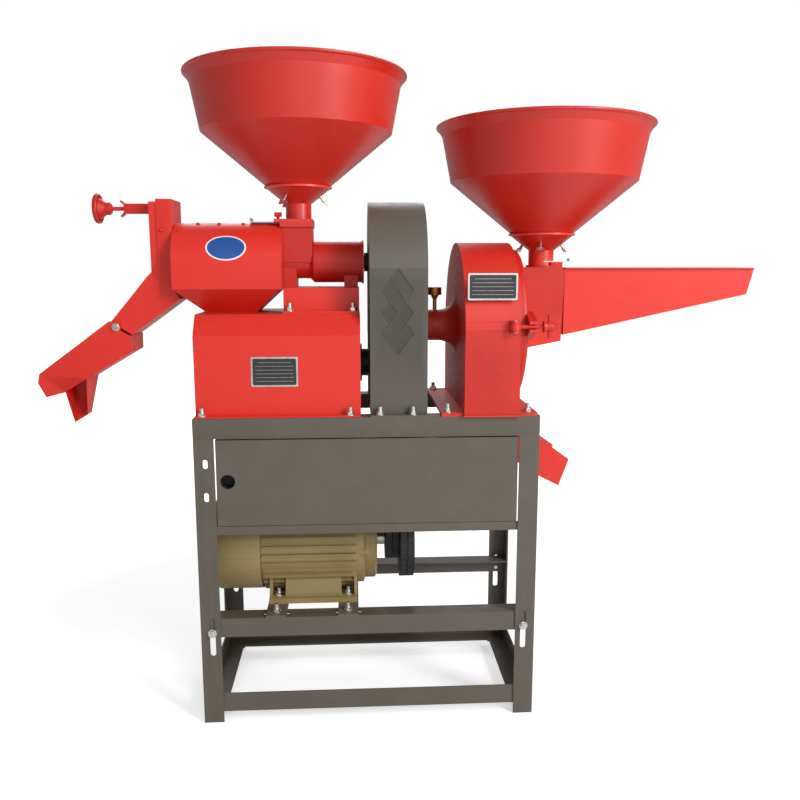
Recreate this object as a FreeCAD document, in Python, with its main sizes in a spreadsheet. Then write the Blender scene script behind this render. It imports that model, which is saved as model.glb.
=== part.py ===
"""Combined rice huller and claw mill on an angle-steel frame, driven by one motor.

Millimetres, +Z up.  X runs along every shaft, from the rice outlet (-X) to the feed tray
(+X); the machine is worked from its -Y side.  The origin is on the floor, under the middle
of the whole machine.  Stations along X are measured from the middle of the frame, which
stands frame_x from the origin.
"""
import FreeCAD, Part
import math
import os
import re
import Sketcher
from FreeCAD import Placement, Rotation, Vector

# alias, millimetres (or degrees, or a count), what it is
SIZES = [
    ("frame_x", -65, "middle of the frame, from the origin"),
    ("frame_w", 650, "frame, along X"),
    ("frame_d", 315, "frame, along Y"),
    ("frame_h", 608, "top of the frame"),
    ("angle_w", 38, "angle steel, width of a flange"),
    ("angle_t", 3, "angle steel, thickness"),
    ("rail_low", 21.5, "underside of the floor rails"),
    ("rail_motor", 215, "top of the motor rails"),
    ("leg_slot_x", 22, "motor slot, from the corner of the leg"),
    ("leg_slot_z", 178, "middle of the motor slots"),
    ("leg_slot_len", 77, "motor slot, end to end"),
    ("leg_slot_w", 11, "motor slot, width"),
    ("rail_bolt_z", 187, "motor rail bolts"),
    ("panel_low", 401, "front panel, lower edge"),
    ("panel_high", 567, "front panel, upper edge"),
    ("sheet_t", 2, "sheet steel"),
    ("switch_x", -264, "switch hole in the front panel"),
    ("switch_z", 487, "switch hole in the front panel"),
    ("switch_r", 14, "switch hole, radius"),
    ("sill_low", 383, "bar under the panel, lower edge"),
    ("sill_w", 17, "bar under the panel, height"),
    ("base_t", 3, "bolted-down flanges"),
    ("bolt_r", 4, "M8 shank"),
    ("nut_h", 6.5, "M8 nut"),
    ("washer_r", 8.5, "M8 washer"),
    ("bolt_gap", 0.4, "clearance round a shank"),
    ("fit", 0.02, "radial clearance of a running or seated fit"),
    ("gap", 0.3, "clearance between moving faces"),
    # blower
    ("blower_left", -322, "blower box"),
    ("blower_right", -13, "blower box"),
    ("blower_d", 268, "blower box, along Y"),
    ("blower_wall_h", 151, "upright part of its front"),
    ("blower_h", 189, "top of the box above the frame"),
    ("blower_top_d", 208, "flat top, along Y"),
    ("blower_flange", 20, "foot flange, width"),
    ("duct_w", 120, "bran outlet at the rear"),
    ("duct_h", 90, "bran outlet at the rear"),
    ("duct_len", 36, "bran outlet stub"),
    ("fan_z", 693, "fan shaft"),
    ("fan_r", 62, "impeller tip"),
    ("fan_w", 70, "impeller width"),
    ("fan_left", -160, "impeller, left side"),
    ("fan_shaft_r", 10, "fan shaft"),
    ("fan_pulley_r", 38, "fan pulley"),
    # rice mill
    ("mill_z", 894, "mill shaft"),
    ("shaft_r", 12.5, "mill and crusher shafts"),
    ("ped_left", -159, "pedestal"),
    ("ped_right", -14, "pedestal"),
    ("ped_half", 72, "pedestal, half its depth"),
    ("ped_flange", 25, "pedestal foot flange"),
    ("ped_h", 48, "pedestal height"),
    ("ped_t", 5, "pedestal plate"),
    ("ped_bolt", 60, "pedestal bolts, each side of its middle"),
    ("drum_left", -368, "bran drum"),
    ("drum_right", -163, "bran drum"),
    ("drum_r", 75, "bran drum"),
    ("drum_low", 843, "lower edge of the drum's straight sides"),
    ("funnel_left", -309, "bran funnel mouth"),
    ("funnel_right", -214, "bran funnel mouth"),
    ("funnel_half", 46, "bran funnel mouth, half its depth"),
    ("screen_r", 44, "rice screen, outside"),
    ("roller_r", 29, "milling roller, body"),
    ("roller_rib", 5, "milling roller, height of a rib"),
    ("auger_r", 23, "feed screw"),
    ("auger_core", 15, "feed screw, core"),
    ("auger_pitch", 36, "feed screw, pitch"),
    ("auger_len", 62, "feed screw, length"),
    ("feed_left", -165, "feed casting"),
    ("feed_right", -104, "feed casting, right side of the feed box"),
    ("feed_half", 35, "feed box, half its depth"),
    ("feed_top", 961, "feed box, top"),
    ("feed_bore", 25, "feed chamber"),
    ("neck_r", 32, "casting round the feed chamber"),
    ("barrel_r", 40, "casting round the bearings"),
    ("barrel_right", -4, "right end of the barrel"),
    ("bearing_r", 26, "bearing, outside"),
    ("bearing_w", 15, "bearing, width"),
    ("leg_half", 30, "casting legs, half their depth"),
    ("head_left", -398, "outlet head"),
    ("head_right", -369, "outlet head"),
    ("head_half", 45, "outlet head, half its depth"),
    ("head_top", 1012, "outlet head"),
    ("outlet_r", 32, "rice outlet in the drum's end"),
    ("cover_left", -412, "outlet cover"),
    ("cover_top", 1007, "outlet cover"),
    ("press_z", 996, "pressure spindle"),
    ("bracket_left", -466, "spindle bracket"),
    ("bracket_h", 18.5, "spindle bracket"),
    ("bracket_half", 12, "spindle bracket, half its depth"),
    ("spindle_r", 4, "spindle"),
    ("wheel_x", -519, "handwheel, middle of its disc"),
    ("wheel_r", 28.5, "handwheel"),
    ("wheel_hub_r", 12, "handwheel hub"),
    ("wheel_hub_right", -492, "handwheel hub"),
    ("flap_z", 857, "hinge of the pressure flap"),
    ("flap_x", -378, "pressure flap, its closing face is 2 to the right"),
    ("chute_pin_x", -483.5, "pivot of the lower chute"),
    ("chute_pin_z", 770, "pivot of the lower chute"),
    ("trough_half", 49, "lower chute, half its depth"),
    # hoppers
    ("rice_x", -131, "rice hopper"),
    ("rice_rim", 1247, "rice hopper rim"),
    ("grain_x", 354, "grain hopper"),
    ("grain_rim", 1158, "grain hopper rim"),
    ("rim_r", 210, "hopper rim, centre line of the rolled edge"),
    ("roll_r", 3.2, "rolled edge"),
    ("wall_top_r", 201, "hopper wall under the rim"),
    ("wall_low_r", 184, "hopper wall at the fold"),
    ("fold_drop", 108, "rim to fold"),
    ("cone_drop", 208, "rim to the lower edge of the cone"),
    ("cone_r", 62, "lower edge of the cone"),
    ("ring_r", 66, "funnel's upper ring"),
    ("funnel_drop", 241, "rim to the top of the throat"),
    ("throat_r", 25, "throat"),
    # crusher
    ("crusher_z", 768, "crusher shaft"),
    ("case_left", 180, "crusher casing"),
    ("case_right", 284, "crusher casing"),
    ("case_r", 164, "crusher casing"),
    ("case_bore", 150, "milling chamber"),
    ("case_back", 8, "casing back wall"),
    ("foot_left", 138, "crusher foot plate"),
    ("foot_right", 320, "crusher foot plate"),
    ("foot_half", 157, "crusher foot plate, half its depth"),
    ("foot_t", 6, "crusher foot plate"),
    ("housing_left", 113, "crusher bearing housing"),
    ("housing_r", 31, "crusher bearing housing"),
    ("flare_r", 34, "fillet of the housing into the casing"),
    ("door_r", 152, "crusher door"),
    ("door_t", 17, "crusher door"),
    ("door_bore", 40, "feed hole in the door"),
    ("hinge_y", 176, "door hinge pin"),
    ("hinge_x", 266, "door hinge pin, level with the tips of the claws"),
    ("hinge_r", 9, "door hinge barrel"),
    ("pin_r", 4, "hinge and clamp pins"),
    ("clamp_x", 270, "pin of the swing bolt"),
    ("clamp_y", -174, "pin of the swing bolt"),
    ("clamp_z", 777, "swing bolt"),
    ("claw", 9, "claw, side of its square section"),
    ("claw_tip_rotor", 260, "right ends of the rotor's claws"),
    ("claw_tip_door", 242, "left ends of the door's claws"),
    ("rotor_r", 132, "claw rotor"),
    ("rotor_claw_a", 52, "inner ring of claws on the rotor"),
    ("door_claw_a", 72, "inner ring of claws on the door"),
    ("rotor_claw_b", 92, "middle ring of claws on the rotor"),
    ("door_claw_b", 108, "outer ring of claws on the door"),
    ("rotor_claw_c", 125, "outer ring of claws on the rotor"),
    ("sieve_r", 145, "ring sieve"),
    ("crusher_pulley_r", 32, "crusher pulley"),
    ("inlet_right", 388, "crusher inlet box"),
    ("inlet_half", 62, "crusher inlet box, half its depth"),
    ("inlet_top", 884, "crusher inlet box"),
    ("tray_right", 768, "feed tray"),
    # belt drive
    ("guard_left", 5, "belt guard"),
    ("guard_right", 113, "belt guard"),
    ("guard_r", 137, "belt guard, arch"),
    ("guard_z", 873, "belt guard, centre of the arch"),
    ("groove_first", 29, "first belt, along X"),
    ("groove_step", 14.5, "from belt to belt"),
    ("groove_deep", 9, "pulley groove"),
    ("groove_top", 13, "pulley groove, width at the rim"),
    ("groove_foot", 8, "pulley groove, width at the bottom"),
    ("belt_h", 8, "V-belt height"),
    ("belt_top", 12, "V-belt width outside"),
    ("belt_foot", 7, "V-belt width inside"),
    ("mill_pulley_r", 90, "mill pulley"),
    ("motor_pulley_r", 43, "motor pulley, grooves for the mill"),
    ("motor_step_r", 80, "motor pulley, grooves for the crusher"),
    # motor, foot-mounted, shaft height 100
    ("motor_z", 319, "motor shaft"),
    ("motor_cowl_left", -313, "fan cowl"),
    ("motor_body_left", -215, "stator frame"),
    ("motor_body_right", -21, "stator frame"),
    ("motor_shield_right", 18, "drive-end shield"),
    ("motor_shield_r", 81, "drive-end shield"),
    ("motor_r", 88, "stator frame under the fins"),
    ("fin_r", 100, "tips of the cooling fins"),
    ("fin_t", 2.4, "cooling fin"),
    ("fin_count", 36, "cooling fins"),
    ("cowl_r", 98, "fan cowl"),
    ("motor_shaft_r", 14, "motor shaft"),
    ("foot_a", 160, "motor feet, bolt spacing across"),
    ("foot_b", 140, "motor feet, bolt spacing along"),
    ("foot_mid", -111, "middle of the motor feet"),
    ("bar_w", 40, "crossbars under the motor"),
    ("bar_t", 4, "crossbars under the motor"),
]

doc = FreeCAD.newDocument("Rice_huller")
sheet = doc.addObject("Spreadsheet::Sheet", "size")
for row, (alias, value, note) in enumerate(SIZES, start=1):
    sheet.set("A%d" % row, alias)
    sheet.set("B%d" % row, str(value))
    sheet.set("C%d" % row, note)
    sheet.setAlias("B%d" % row, alias)
doc.recompute()

CLAMP_ROW = "frame_d / 2 - angle_t - 20.2"
NAMES = {alias for alias, value, note in SIZES}
WORD = re.compile(r"[a-z][a-z_]*")
NORMAL = {"XY": 1, "XZ": -1, "YZ": 1}
PIECES = {}


# ---------------------------------------------------------------- sizes and places

def linked(text):
    """The expression with each size name written as a cell of the sheet."""
    return WORD.sub(lambda m: "size." + m.group() if m.group() in NAMES else m.group(), str(text))


def mm(text):
    """The number that an expression of sizes gives."""
    return float(sheet.evalExpression(linked(text)))


def bind(thing, prop, text):
    """Tie one property to an expression of sizes."""
    thing.setExpression(prop, linked(text))


def place(thing, x="0", y="0", z="0", turn=None):
    """Put a thing at a station: x from the frame's middle, y from mid-depth, z from the floor."""
    x = "frame_x + (%s)" % x
    thing.Placement = Placement(Vector(mm(x), mm(y), mm(z)), turn or Rotation())
    for axis, text in (("x", x), ("y", y), ("z", z)):
        bind(thing, "Placement.Base." + axis, text)
    return thing


def keep(thing, label):
    """Name a finished sub-part."""
    thing.Label = label
    PIECES[label] = thing
    return thing


def about(axis, degrees):
    """A turn about one of the main axes."""
    return Rotation(Vector(*axis), degrees)


ALONG_X = about((0, 1, 0), 90)
ALONG_Y = about((1, 0, 0), -90)
FACING_FRONT = about((1, 0, 0), 90)


# ---------------------------------------------------------------- sketches

def corner_arc(start, end, radius):
    """Circle arc from start to end; it turns left where the radius is positive."""
    chord = end - start
    rise = math.sqrt(max(radius * radius - chord.Length ** 2 / 4, 0))
    left = Vector(-chord.y, chord.x, 0).normalize()
    centre = (start + end) / 2 + left * math.copysign(rise, radius)
    first, last = (start, end) if radius > 0 else (end, start)
    angles = [math.atan2(p.y - centre.y, p.x - centre.x) for p in (first, last)]
    circle = Part.Circle(centre, Vector(0, 0, 1), abs(radius))
    return Part.ArcOfCircle(circle, angles[0], angles[1])


def add_loop(sketch, points):
    """Closed outline; a third value on a point is the radius of the arc that ends there."""
    spots = [Vector(mm(point[0]), mm(point[1]), 0) for point in points]
    first = sketch.GeometryCount
    count = len(points)
    begins = []
    for i in range(count):
        after = (i + 1) % count
        radius = mm(points[after][2]) if len(points[after]) > 2 else 0
        if radius:
            sketch.addGeometry(corner_arc(spots[i], spots[after], radius), False)
        else:
            sketch.addGeometry(Part.LineSegment(spots[i], spots[after]), False)
        begins.append(2 if radius < 0 else 1)
    for i in range(count):
        after = (i + 1) % count
        sketch.addConstraint(Sketcher.Constraint(
            "Coincident", first + i, 3 - begins[i], first + after, begins[after]))
        for kind, text in (("DistanceX", points[i][0]), ("DistanceY", points[i][1])):
            limit(sketch, Sketcher.Constraint(kind, -1, 1, first + i, begins[i], mm(text)), text)
        if len(points[after]) > 2:
            text = "abs(%s)" % points[after][2]
            limit(sketch, Sketcher.Constraint("Radius", first + i, mm(text)), text)


def add_circle(sketch, x, y, radius):
    """Round hole or disc."""
    centre = Vector(mm(x), mm(y), 0)
    index = sketch.addGeometry(Part.Circle(centre, Vector(0, 0, 1), mm(radius)), False)
    for kind, text in (("DistanceX", x), ("DistanceY", y)):
        limit(sketch, Sketcher.Constraint(kind, -1, 1, index, 3, mm(text)), text)
    limit(sketch, Sketcher.Constraint("Radius", index, mm(radius)), radius)


def limit(sketch, constraint, text):
    """Add a dimension to a sketch and tie it to the sheet."""
    index = sketch.addConstraint(constraint)
    if WORD.search(str(text)):
        bind(sketch, "Constraints[%d]" % index, text)


def rect(x_low, y_low, x_high, y_high):
    """Rectangle from two corners."""
    return [(x_low, y_low), (x_high, y_low), (x_high, y_high), (x_low, y_high)]


def circle(x, y, radius):
    """Marks a circle in a list of loops."""
    return ("circle", x, y, radius)


class Piece:
    """A PartDesign body, its sketches on its own planes, and its features in order."""

    def __init__(self, name, x="0", y="0", z="0", turn=None):
        self.body = doc.addObject("PartDesign::Body", name)
        place(self.body, x, y, z, turn)

    def plane(self, role):
        """One of the body's own origin planes, such as XZ."""
        return next(o for o in self.body.Origin.OriginFeatures if o.Role == role + "_Plane")

    def sketch(self, plane, loops, at="0"):
        """Sketch of closed loops, a distance along +X, +Y or +Z from an origin plane."""
        sketch = self.body.newObject("Sketcher::SketchObject", self.body.Name + "_sketch")
        sketch.AttachmentSupport = [(self.plane(plane), "")]
        sketch.MapMode = "FlatFace"
        bind(sketch, "AttachmentOffset.Base.z", "(%s) * %d" % (at, NORMAL[plane]))
        for loop in loops:
            if loop[0] == "circle":
                add_circle(sketch, *loop[1:])
            else:
                add_loop(sketch, loop)
        return sketch

    def feature(self, kind, sketch):
        """New PartDesign feature made from a sketch."""
        feature = self.body.newObject("PartDesign::" + kind, self.body.Name + "_" + kind.lower())
        feature.Profile = sketch
        return feature

    def extrude(self, kind, plane, loops, low, high):
        """Pad or pocket between two stations along the plane's axis."""
        sketch = self.sketch(plane, loops, low)
        feature = self.feature(kind, sketch)
        bind(feature, "Length", "(%s) - (%s)" % (high, low))
        outward = NORMAL[plane] < 0
        feature.Reversed = outward if kind == "Pad" else not outward
        return feature

    def pad(self, plane, loops, low, high):
        """Add material between two stations."""
        return self.extrude("Pad", plane, loops, low, high)

    def cut(self, plane, loops, low, high):
        """Take material away between two stations."""
        return self.extrude("Pocket", plane, loops, low, high)

    def turned(self, loops, kind="Revolution", plane="XZ", axis="H_Axis"):
        """Turn a profile about the sketch's own X (H_Axis) or Y (V_Axis)."""
        sketch = self.sketch(plane, loops)
        feature = self.feature(kind, sketch)
        feature.ReferenceAxis = (sketch, [axis])
        feature.Angle = 360
        return feature

    def blend(self, kind, plane, low_loop, low, high_loop, high):
        """AdditiveLoft or SubtractiveLoft between two parallel sections."""
        lower = self.sketch(plane, [low_loop], low)
        upper = self.sketch(plane, [high_loop], high)
        feature = self.feature(kind, lower)
        feature.Sections = [upper]
        feature.Ruled = True
        return feature

    def around(self, originals, count, axis="X_Axis"):
        """Repeat features evenly about one of the body's axes."""
        pattern = self.body.newObject("PartDesign::PolarPattern", self.body.Name + "_ring")
        pattern.Originals = originals
        line = next(o for o in self.body.Origin.OriginFeatures if o.Role == axis)
        pattern.Axis = (line, [""])
        bind(pattern, "Occurrences", str(count))
        self.body.Tip = pattern
        return pattern

    def done(self, label):
        """Keep the body as a sub-part."""
        return keep(self.body, label)


# ---------------------------------------------------------------- simple solids

def cylinder(radius, length, x, y, z, turn=None):
    """Round bar that starts at a station."""
    bar = doc.addObject("Part::Cylinder", "bar")
    bind(bar, "Radius", radius)
    bind(bar, "Height", length)
    return place(bar, x, y, z, turn)


def box(x_low, x_high, y_low, y_high, z_low, z_high):
    """Block between stations."""
    block = doc.addObject("Part::Box", "block")
    bind(block, "Length", "(%s) - (%s)" % (x_high, x_low))
    bind(block, "Width", "(%s) - (%s)" % (y_high, y_low))
    bind(block, "Height", "(%s) - (%s)" % (z_high, z_low))
    return place(block, x_low, y_low, z_low)


def hexagon(across, height, x, y, z, turn=None):
    """Hexagonal nut or bolt head."""
    prism = doc.addObject("Part::Prism", "hexagon")
    prism.Polygon = 6
    bind(prism, "Circumradius", "(%s) / sqrt(3)" % across)
    bind(prism, "Height", height)
    return place(prism, x, y, z, turn)


def fuse(solids):
    """One solid from several."""
    joined = doc.addObject("Part::MultiFuse", "joined")
    joined.Shapes = solids
    joined.Refine = True
    return joined


def cut(base, tool):
    """One solid less another."""
    rest = doc.addObject("Part::Cut", "rest")
    rest.Base = base
    rest.Tool = tool
    return rest


def group(label, solids):
    """Several separate solids in one sub-part."""
    bunch = doc.addObject("Part::Compound", label)
    bunch.Links = solids
    return keep(bunch, label)


def bolt(x, y, z, shank, turn=None, stud="9"):
    """Stud, washer and nut, set in against its local Z from the surface at z."""
    away = turn or Rotation()
    grip = away.multVec(Vector(0, 0, -1)) * mm(shank)
    start = ["(%s) + (%g)" % (text, step) for text, step in zip((x, y, z), grip)]
    return fuse([
        cylinder("bolt_r", "(%s) + nut_h + %s" % (shank, stud), *start, turn),
        cylinder("washer_r", "1.6", x, y, z, turn),
        hexagon("13", "nut_h", x, y, z, turn),
    ])


# ---------------------------------------------------------------- outlines

def slot(x, y, width, length):
    """Upright slot with round ends."""
    half = "(%s) / 2" % width
    reach = "((%s) - (%s)) / 2" % (length, width)
    low, high = "%s - %s" % (y, reach), "%s + %s" % (y, reach)
    left, right = "%s - %s" % (x, half), "%s + %s" % (x, half)
    return [
        (left, low), (x, "%s - %s" % (low, half), half), (right, low, half),
        (right, high), (x, "%s + %s" % (high, half), half), (left, high, half),
    ]


def arch(half, low, centre, offset="0"):
    """Upright sides under a half circle, seen along X."""
    side = "(%s) - (%s)" % (half, offset)
    return [
        ("-(%s)" % side, low), (side, low), (side, centre),
        ("0", "%s + %s" % (centre, side), side), ("-(%s)" % side, centre, side),
    ]


def angle_section(side="", up=""):
    """Angle steel with its outer corner at the origin."""
    return [
        ("0", "0"), (side + "angle_w", "0"), (side + "angle_w", up + "angle_t"),
        (side + "angle_t", up + "angle_t"), (side + "angle_t", up + "angle_w"),
        ("0", up + "angle_w"),
    ]


# ---------------------------------------------------------------- frame

def leg(x, y, degrees):
    """Corner post with a motor adjustment slot in its front or rear flange."""
    post = Piece("leg", x, y, "0", about((0, 0, 1), degrees))
    post.pad("XY", [angle_section()], "0", "frame_h - angle_w")
    plane = "XZ" if degrees in (0, 180) else "YZ"
    slots = [slot("leg_slot_x", "leg_slot_z", "leg_slot_w", "leg_slot_len")]
    if degrees == 0:
        slots.append(slot("leg_slot_x - 1", "522", "9", "18"))
        slots.append(slot("leg_slot_x - 1", "458", "9", "18"))
    post.cut(plane, slots, "0", "angle_t")
    return post.body


def rail(length, x, y, z, degrees, up, mitred=True):
    """Angle bar along its own X, flange towards its own +Y."""
    bar = Piece("rail", x, y, z, about((0, 0, 1), degrees))
    bar.pad("YZ", [angle_section("", up)], "-(%s) / 2" % length, "(%s) / 2" % length)
    if mitred:
        end = "(%s) / 2" % length
        right = [(end, "0"), (end, "angle_w"), (end + " - angle_w", "angle_w")]
        left = [("-" + end, "0"), ("angle_w - " + end, "angle_w"), ("-" + end, "angle_w")]
        low, high = ("-angle_w", "0") if up else ("0", "angle_w")
        bar.cut("XY", [right, left], low, high)
    return bar


def base_seats():
    """Where bolts hold the blower, the belt guard and the crusher to the top rails."""
    seats = [(x, "blower_d / 2 + 12", "frame_h + base_t")
             for x in ("blower_left + 14", "blower_right - 20")]
    seats += [(x, "guard_r + 10", "frame_h + base_t")
              for x in ("guard_left + 18", "guard_right - 28")]
    seats += [(x, "foot_half - 16", "frame_h + foot_t")
              for x in ("foot_left + 13", "foot_right - 16")]
    return seats


def ring_of_rails(width, depth, z, up):
    """Four mitred bars in a rectangle, corners outwards."""
    x, y = "(%s) / 2" % width, "(%s) / 2" % depth
    long_bars = [rail(width, "0", "-" + y, z, 0, up), rail(width, "0", y, z, 180, up)]
    short_bars = [rail(depth, "-" + x, "0", z, -90, up), rail(depth, x, "0", z, 90, up)]
    if up:
        for bar, side in zip(long_bars, ("", "-")):
            holes = [circle("%s(%s)" % (side, at), "%s - (%s)" % (y, off), "bolt_r + bolt_gap")
                     for at, off, level in base_seats()]
            bar.cut("XY", holes, "-angle_t", "0")
        for bar, seat, end in zip(short_bars, (base_seats()[0], base_seats()[-1]), ("", "-")):
            at, off, level = seat
            corner_holes = [circle("%s(%s)" % (side, off), "%s + %s(%s)" % (x, end, at),
                                   "bolt_r + bolt_gap") for side in ("", "-")]
            bar.cut("XY", corner_holes, "-angle_t", "0")
    return [bar.body for bar in long_bars + short_bars]


def frame():
    """Welded frame, the motor rails bolted into it, and the sheet at its front."""
    x, y = "frame_w / 2", "frame_d / 2"
    corners = (("-" + x, "-" + y, 0), (x, "-" + y, 90), (x, y, 180), ("-" + x, y, 270))
    group("frame_legs", [leg(*corner) for corner in corners])
    inner_w, inner_d = "frame_w - 2 * angle_t", "frame_d - 2 * angle_t"
    group("frame_rails", ring_of_rails("frame_w", "frame_d", "frame_h", "-") +
          ring_of_rails(inner_w, inner_d, "rail_low", ""))
    rails = []
    for y, degrees in (("-(%s) / 2" % inner_d, 0), ("(%s) / 2" % inner_d, 180)):
        bar = rail(inner_w, "0", y, "rail_motor", degrees, "-", mitred=False)
        holes = [circle(side + "(frame_w / 2 - leg_slot_x)", "rail_bolt_z - rail_motor",
                        "bolt_r + bolt_gap") for side in ("", "-")]
        bar.cut("XZ", holes, "0", "angle_t")
        turn = "" if degrees == 0 else "-"
        middles = ["%s(foot_mid + (%s))" % (turn, at) for at in ("-foot_b / 2", "foot_b / 2")]
        slots = [rect(at + " - 25", "16", at + " + 25", "24.4") for at in middles]
        bar.cut("XY", slots, "-angle_t", "0")
        rails.append(bar.body)
    bars = []
    for x in ("foot_mid - foot_b / 2", "foot_mid + foot_b / 2"):
        bar = Piece("crossbar", x)
        reach = "frame_d / 2 - angle_t"
        spots = ["%s(%s)" % (side, at) for at in ("foot_a / 2", CLAMP_ROW) for side in ("", "-")]
        bar.pad("XY", [rect("-bar_w / 2", "-(%s)" % reach, "bar_w / 2", reach)] +
                [circle("0", y, "bolt_r + bolt_gap") for y in spots],
                "rail_motor", "rail_motor + bar_t")
        bars.append(bar.body)
    group("motor_rails", rails + bars)

    panel = Piece("front_panel", "0", "-(frame_d / 2 - angle_t)")
    half, inside = "frame_w / 2 - angle_t", "frame_w / 2 - angle_w - 2"
    sheet_outline = rect("-(%s)" % inside, "panel_low", inside, "panel_high")
    panel.pad("XZ", [sheet_outline, circle("switch_x", "switch_z", "switch_r")], "0", "sheet_t")
    for low, high in (("panel_low", "panel_low + sheet_t"), ("panel_high - sheet_t", "panel_high")):
        panel.pad("XZ", [rect("-(%s)" % inside, low, inside, high)], "sheet_t", "14")
    front = "-(frame_d / 2 - angle_t)"
    sill = box("-(%s)" % half, half, front, front + " + angle_t", "sill_low", "sill_low + sill_w")
    group("front_panel", [panel.body, sill])


# ---------------------------------------------------------------- blower

def blower_outline(inset):
    """Upright sides, sloping shoulders and a flat top, seen along X."""
    side = "blower_d / 2 - %s" % inset
    top = "blower_top_d / 2 - %s" % inset
    low, shoulder, high = "frame_h + %s" % inset, "frame_h + blower_wall_h", "frame_h + blower_h"
    return [
        ("-(%s)" % side, low), (side, low), (side, shoulder), (top, "%s - %s" % (high, inset)),
        ("-(%s)" % top, "%s - %s" % (high, inset)), ("-(%s)" % side, shoulder),
    ]


def blower():
    """Sheet box that the bran falls into, and the fan that blows it out at the rear."""
    shell = Piece("blower_box")
    shell.pad("YZ", [blower_outline("0")], "blower_left", "blower_right")
    foot = "blower_d / 2 + blower_flange"
    shell.pad("XY", [rect("blower_left", "-(%s)" % foot, "blower_right", foot)],
              "frame_h", "frame_h + base_t")
    duct = ["blower_left + 40", "blower_left + 40 + duct_w", "frame_h + 25"]
    outer = rect(duct[0], duct[2], duct[1], duct[2] + " + duct_h")
    shell.pad("XZ", [outer], "blower_d / 2 - sheet_t", "blower_d / 2 + duct_len")
    shell.cut("YZ", [blower_outline("sheet_t")], "blower_left + sheet_t", "blower_right - sheet_t")
    inner = rect(duct[0] + " + sheet_t", duct[2] + " + sheet_t", duct[1] + " - sheet_t",
                 duct[2] + " + duct_h - sheet_t")
    shell.cut("XZ", [inner], "blower_d / 2 - 2 * sheet_t", "blower_d / 2 + duct_len")
    mouth = rect("funnel_left + 2", "2 - funnel_half", "funnel_right - 2", "funnel_half - 2")
    shell.cut("XY", [mouth], "frame_h + blower_h - sheet_t", "frame_h + blower_h")
    shell.cut("YZ", [circle("0", "fan_z", "22")], "blower_right - sheet_t", "blower_right")
    holes = []
    for x in ("blower_left + 14", "blower_right - 20"):
        for y in ("-(blower_d / 2 + 12)", "blower_d / 2 + 12"):
            holes.append(circle(x, y, "bolt_r + bolt_gap"))
    shell.cut("XY", holes, "frame_h", "frame_h + base_t")
    shell.done("blower_box")

    hub = cylinder("18", "fan_w", "fan_left", "0", "fan_z", ALONG_X)
    disc = cylinder("fan_r", "sheet_t", "fan_left + fan_w - sheet_t", "0", "fan_z", ALONG_X)
    blades = []
    for i in range(6):
        blade = doc.addObject("Part::Box", "blade")
        bind(blade, "Length", "fan_w")
        bind(blade, "Width", "sheet_t")
        bind(blade, "Height", "fan_r - 12")
        turn = about((1, 0, 0), 60 * i)
        blade.Placement = Placement(Vector(0, 0, 0), turn)
        step = turn.multVec(Vector(0, 0, 12))
        place(blade, "fan_left", "%g" % step.y, "fan_z + (%g)" % step.z, turn)
        blades.append(blade)
    bore = cylinder("fan_shaft_r + fit", "fan_w + 10", "fan_left - 5", "0", "fan_z", ALONG_X)
    keep(cut(fuse([hub, disc] + blades), bore), "fan_impeller")
    keep(cylinder("fan_shaft_r", "groove_first + 10 - (fan_left - 4)", "fan_left - 4", "0",
                  "fan_z", ALONG_X), "fan_shaft")

    carrier = Piece("fan_bearing", "blower_right", "0", "fan_z")
    reach = "guard_left + 4 - blower_right"
    carrier.turned([[("0", "fan_shaft_r + fit"), (reach, "fan_shaft_r + fit"), (reach, "25"),
                     (reach + " - 3", "27.5"), ("4", "27.5"), ("4", "38"), ("0", "38")]])
    carrier.done("fan_bearing")


# ---------------------------------------------------------------- rice mill

def pedestal():
    """Bent plate channel under the mill casting."""
    channel = Piece("mill_pedestal", z="frame_h + blower_h")
    flange, side = "ped_half + ped_flange", "ped_half"
    web = "ped_half - ped_t"
    channel.pad("YZ", [[
        ("-(%s)" % flange, "0"), ("-(%s)" % web, "0"), ("-(%s)" % web, "ped_h - ped_t"),
        (web, "ped_h - ped_t"), (web, "0"), (flange, "0"), (flange, "ped_t"), (side, "ped_t"),
        (side, "ped_h"), ("-" + side, "ped_h"), ("-" + side, "ped_t"), ("-(%s)" % flange, "ped_t"),
    ]], "ped_left", "ped_right")
    holes = []
    for x in ("-ped_bolt", "ped_bolt"):
        for y in ("-(ped_half + 14)", "ped_half + 14"):
            holes.append(circle("(ped_left + ped_right) / 2 + (%s)" % x, y, "bolt_r + bolt_gap"))
    channel.cut("XY", holes, "0", "ped_t")
    channel.done("mill_pedestal")


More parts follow.
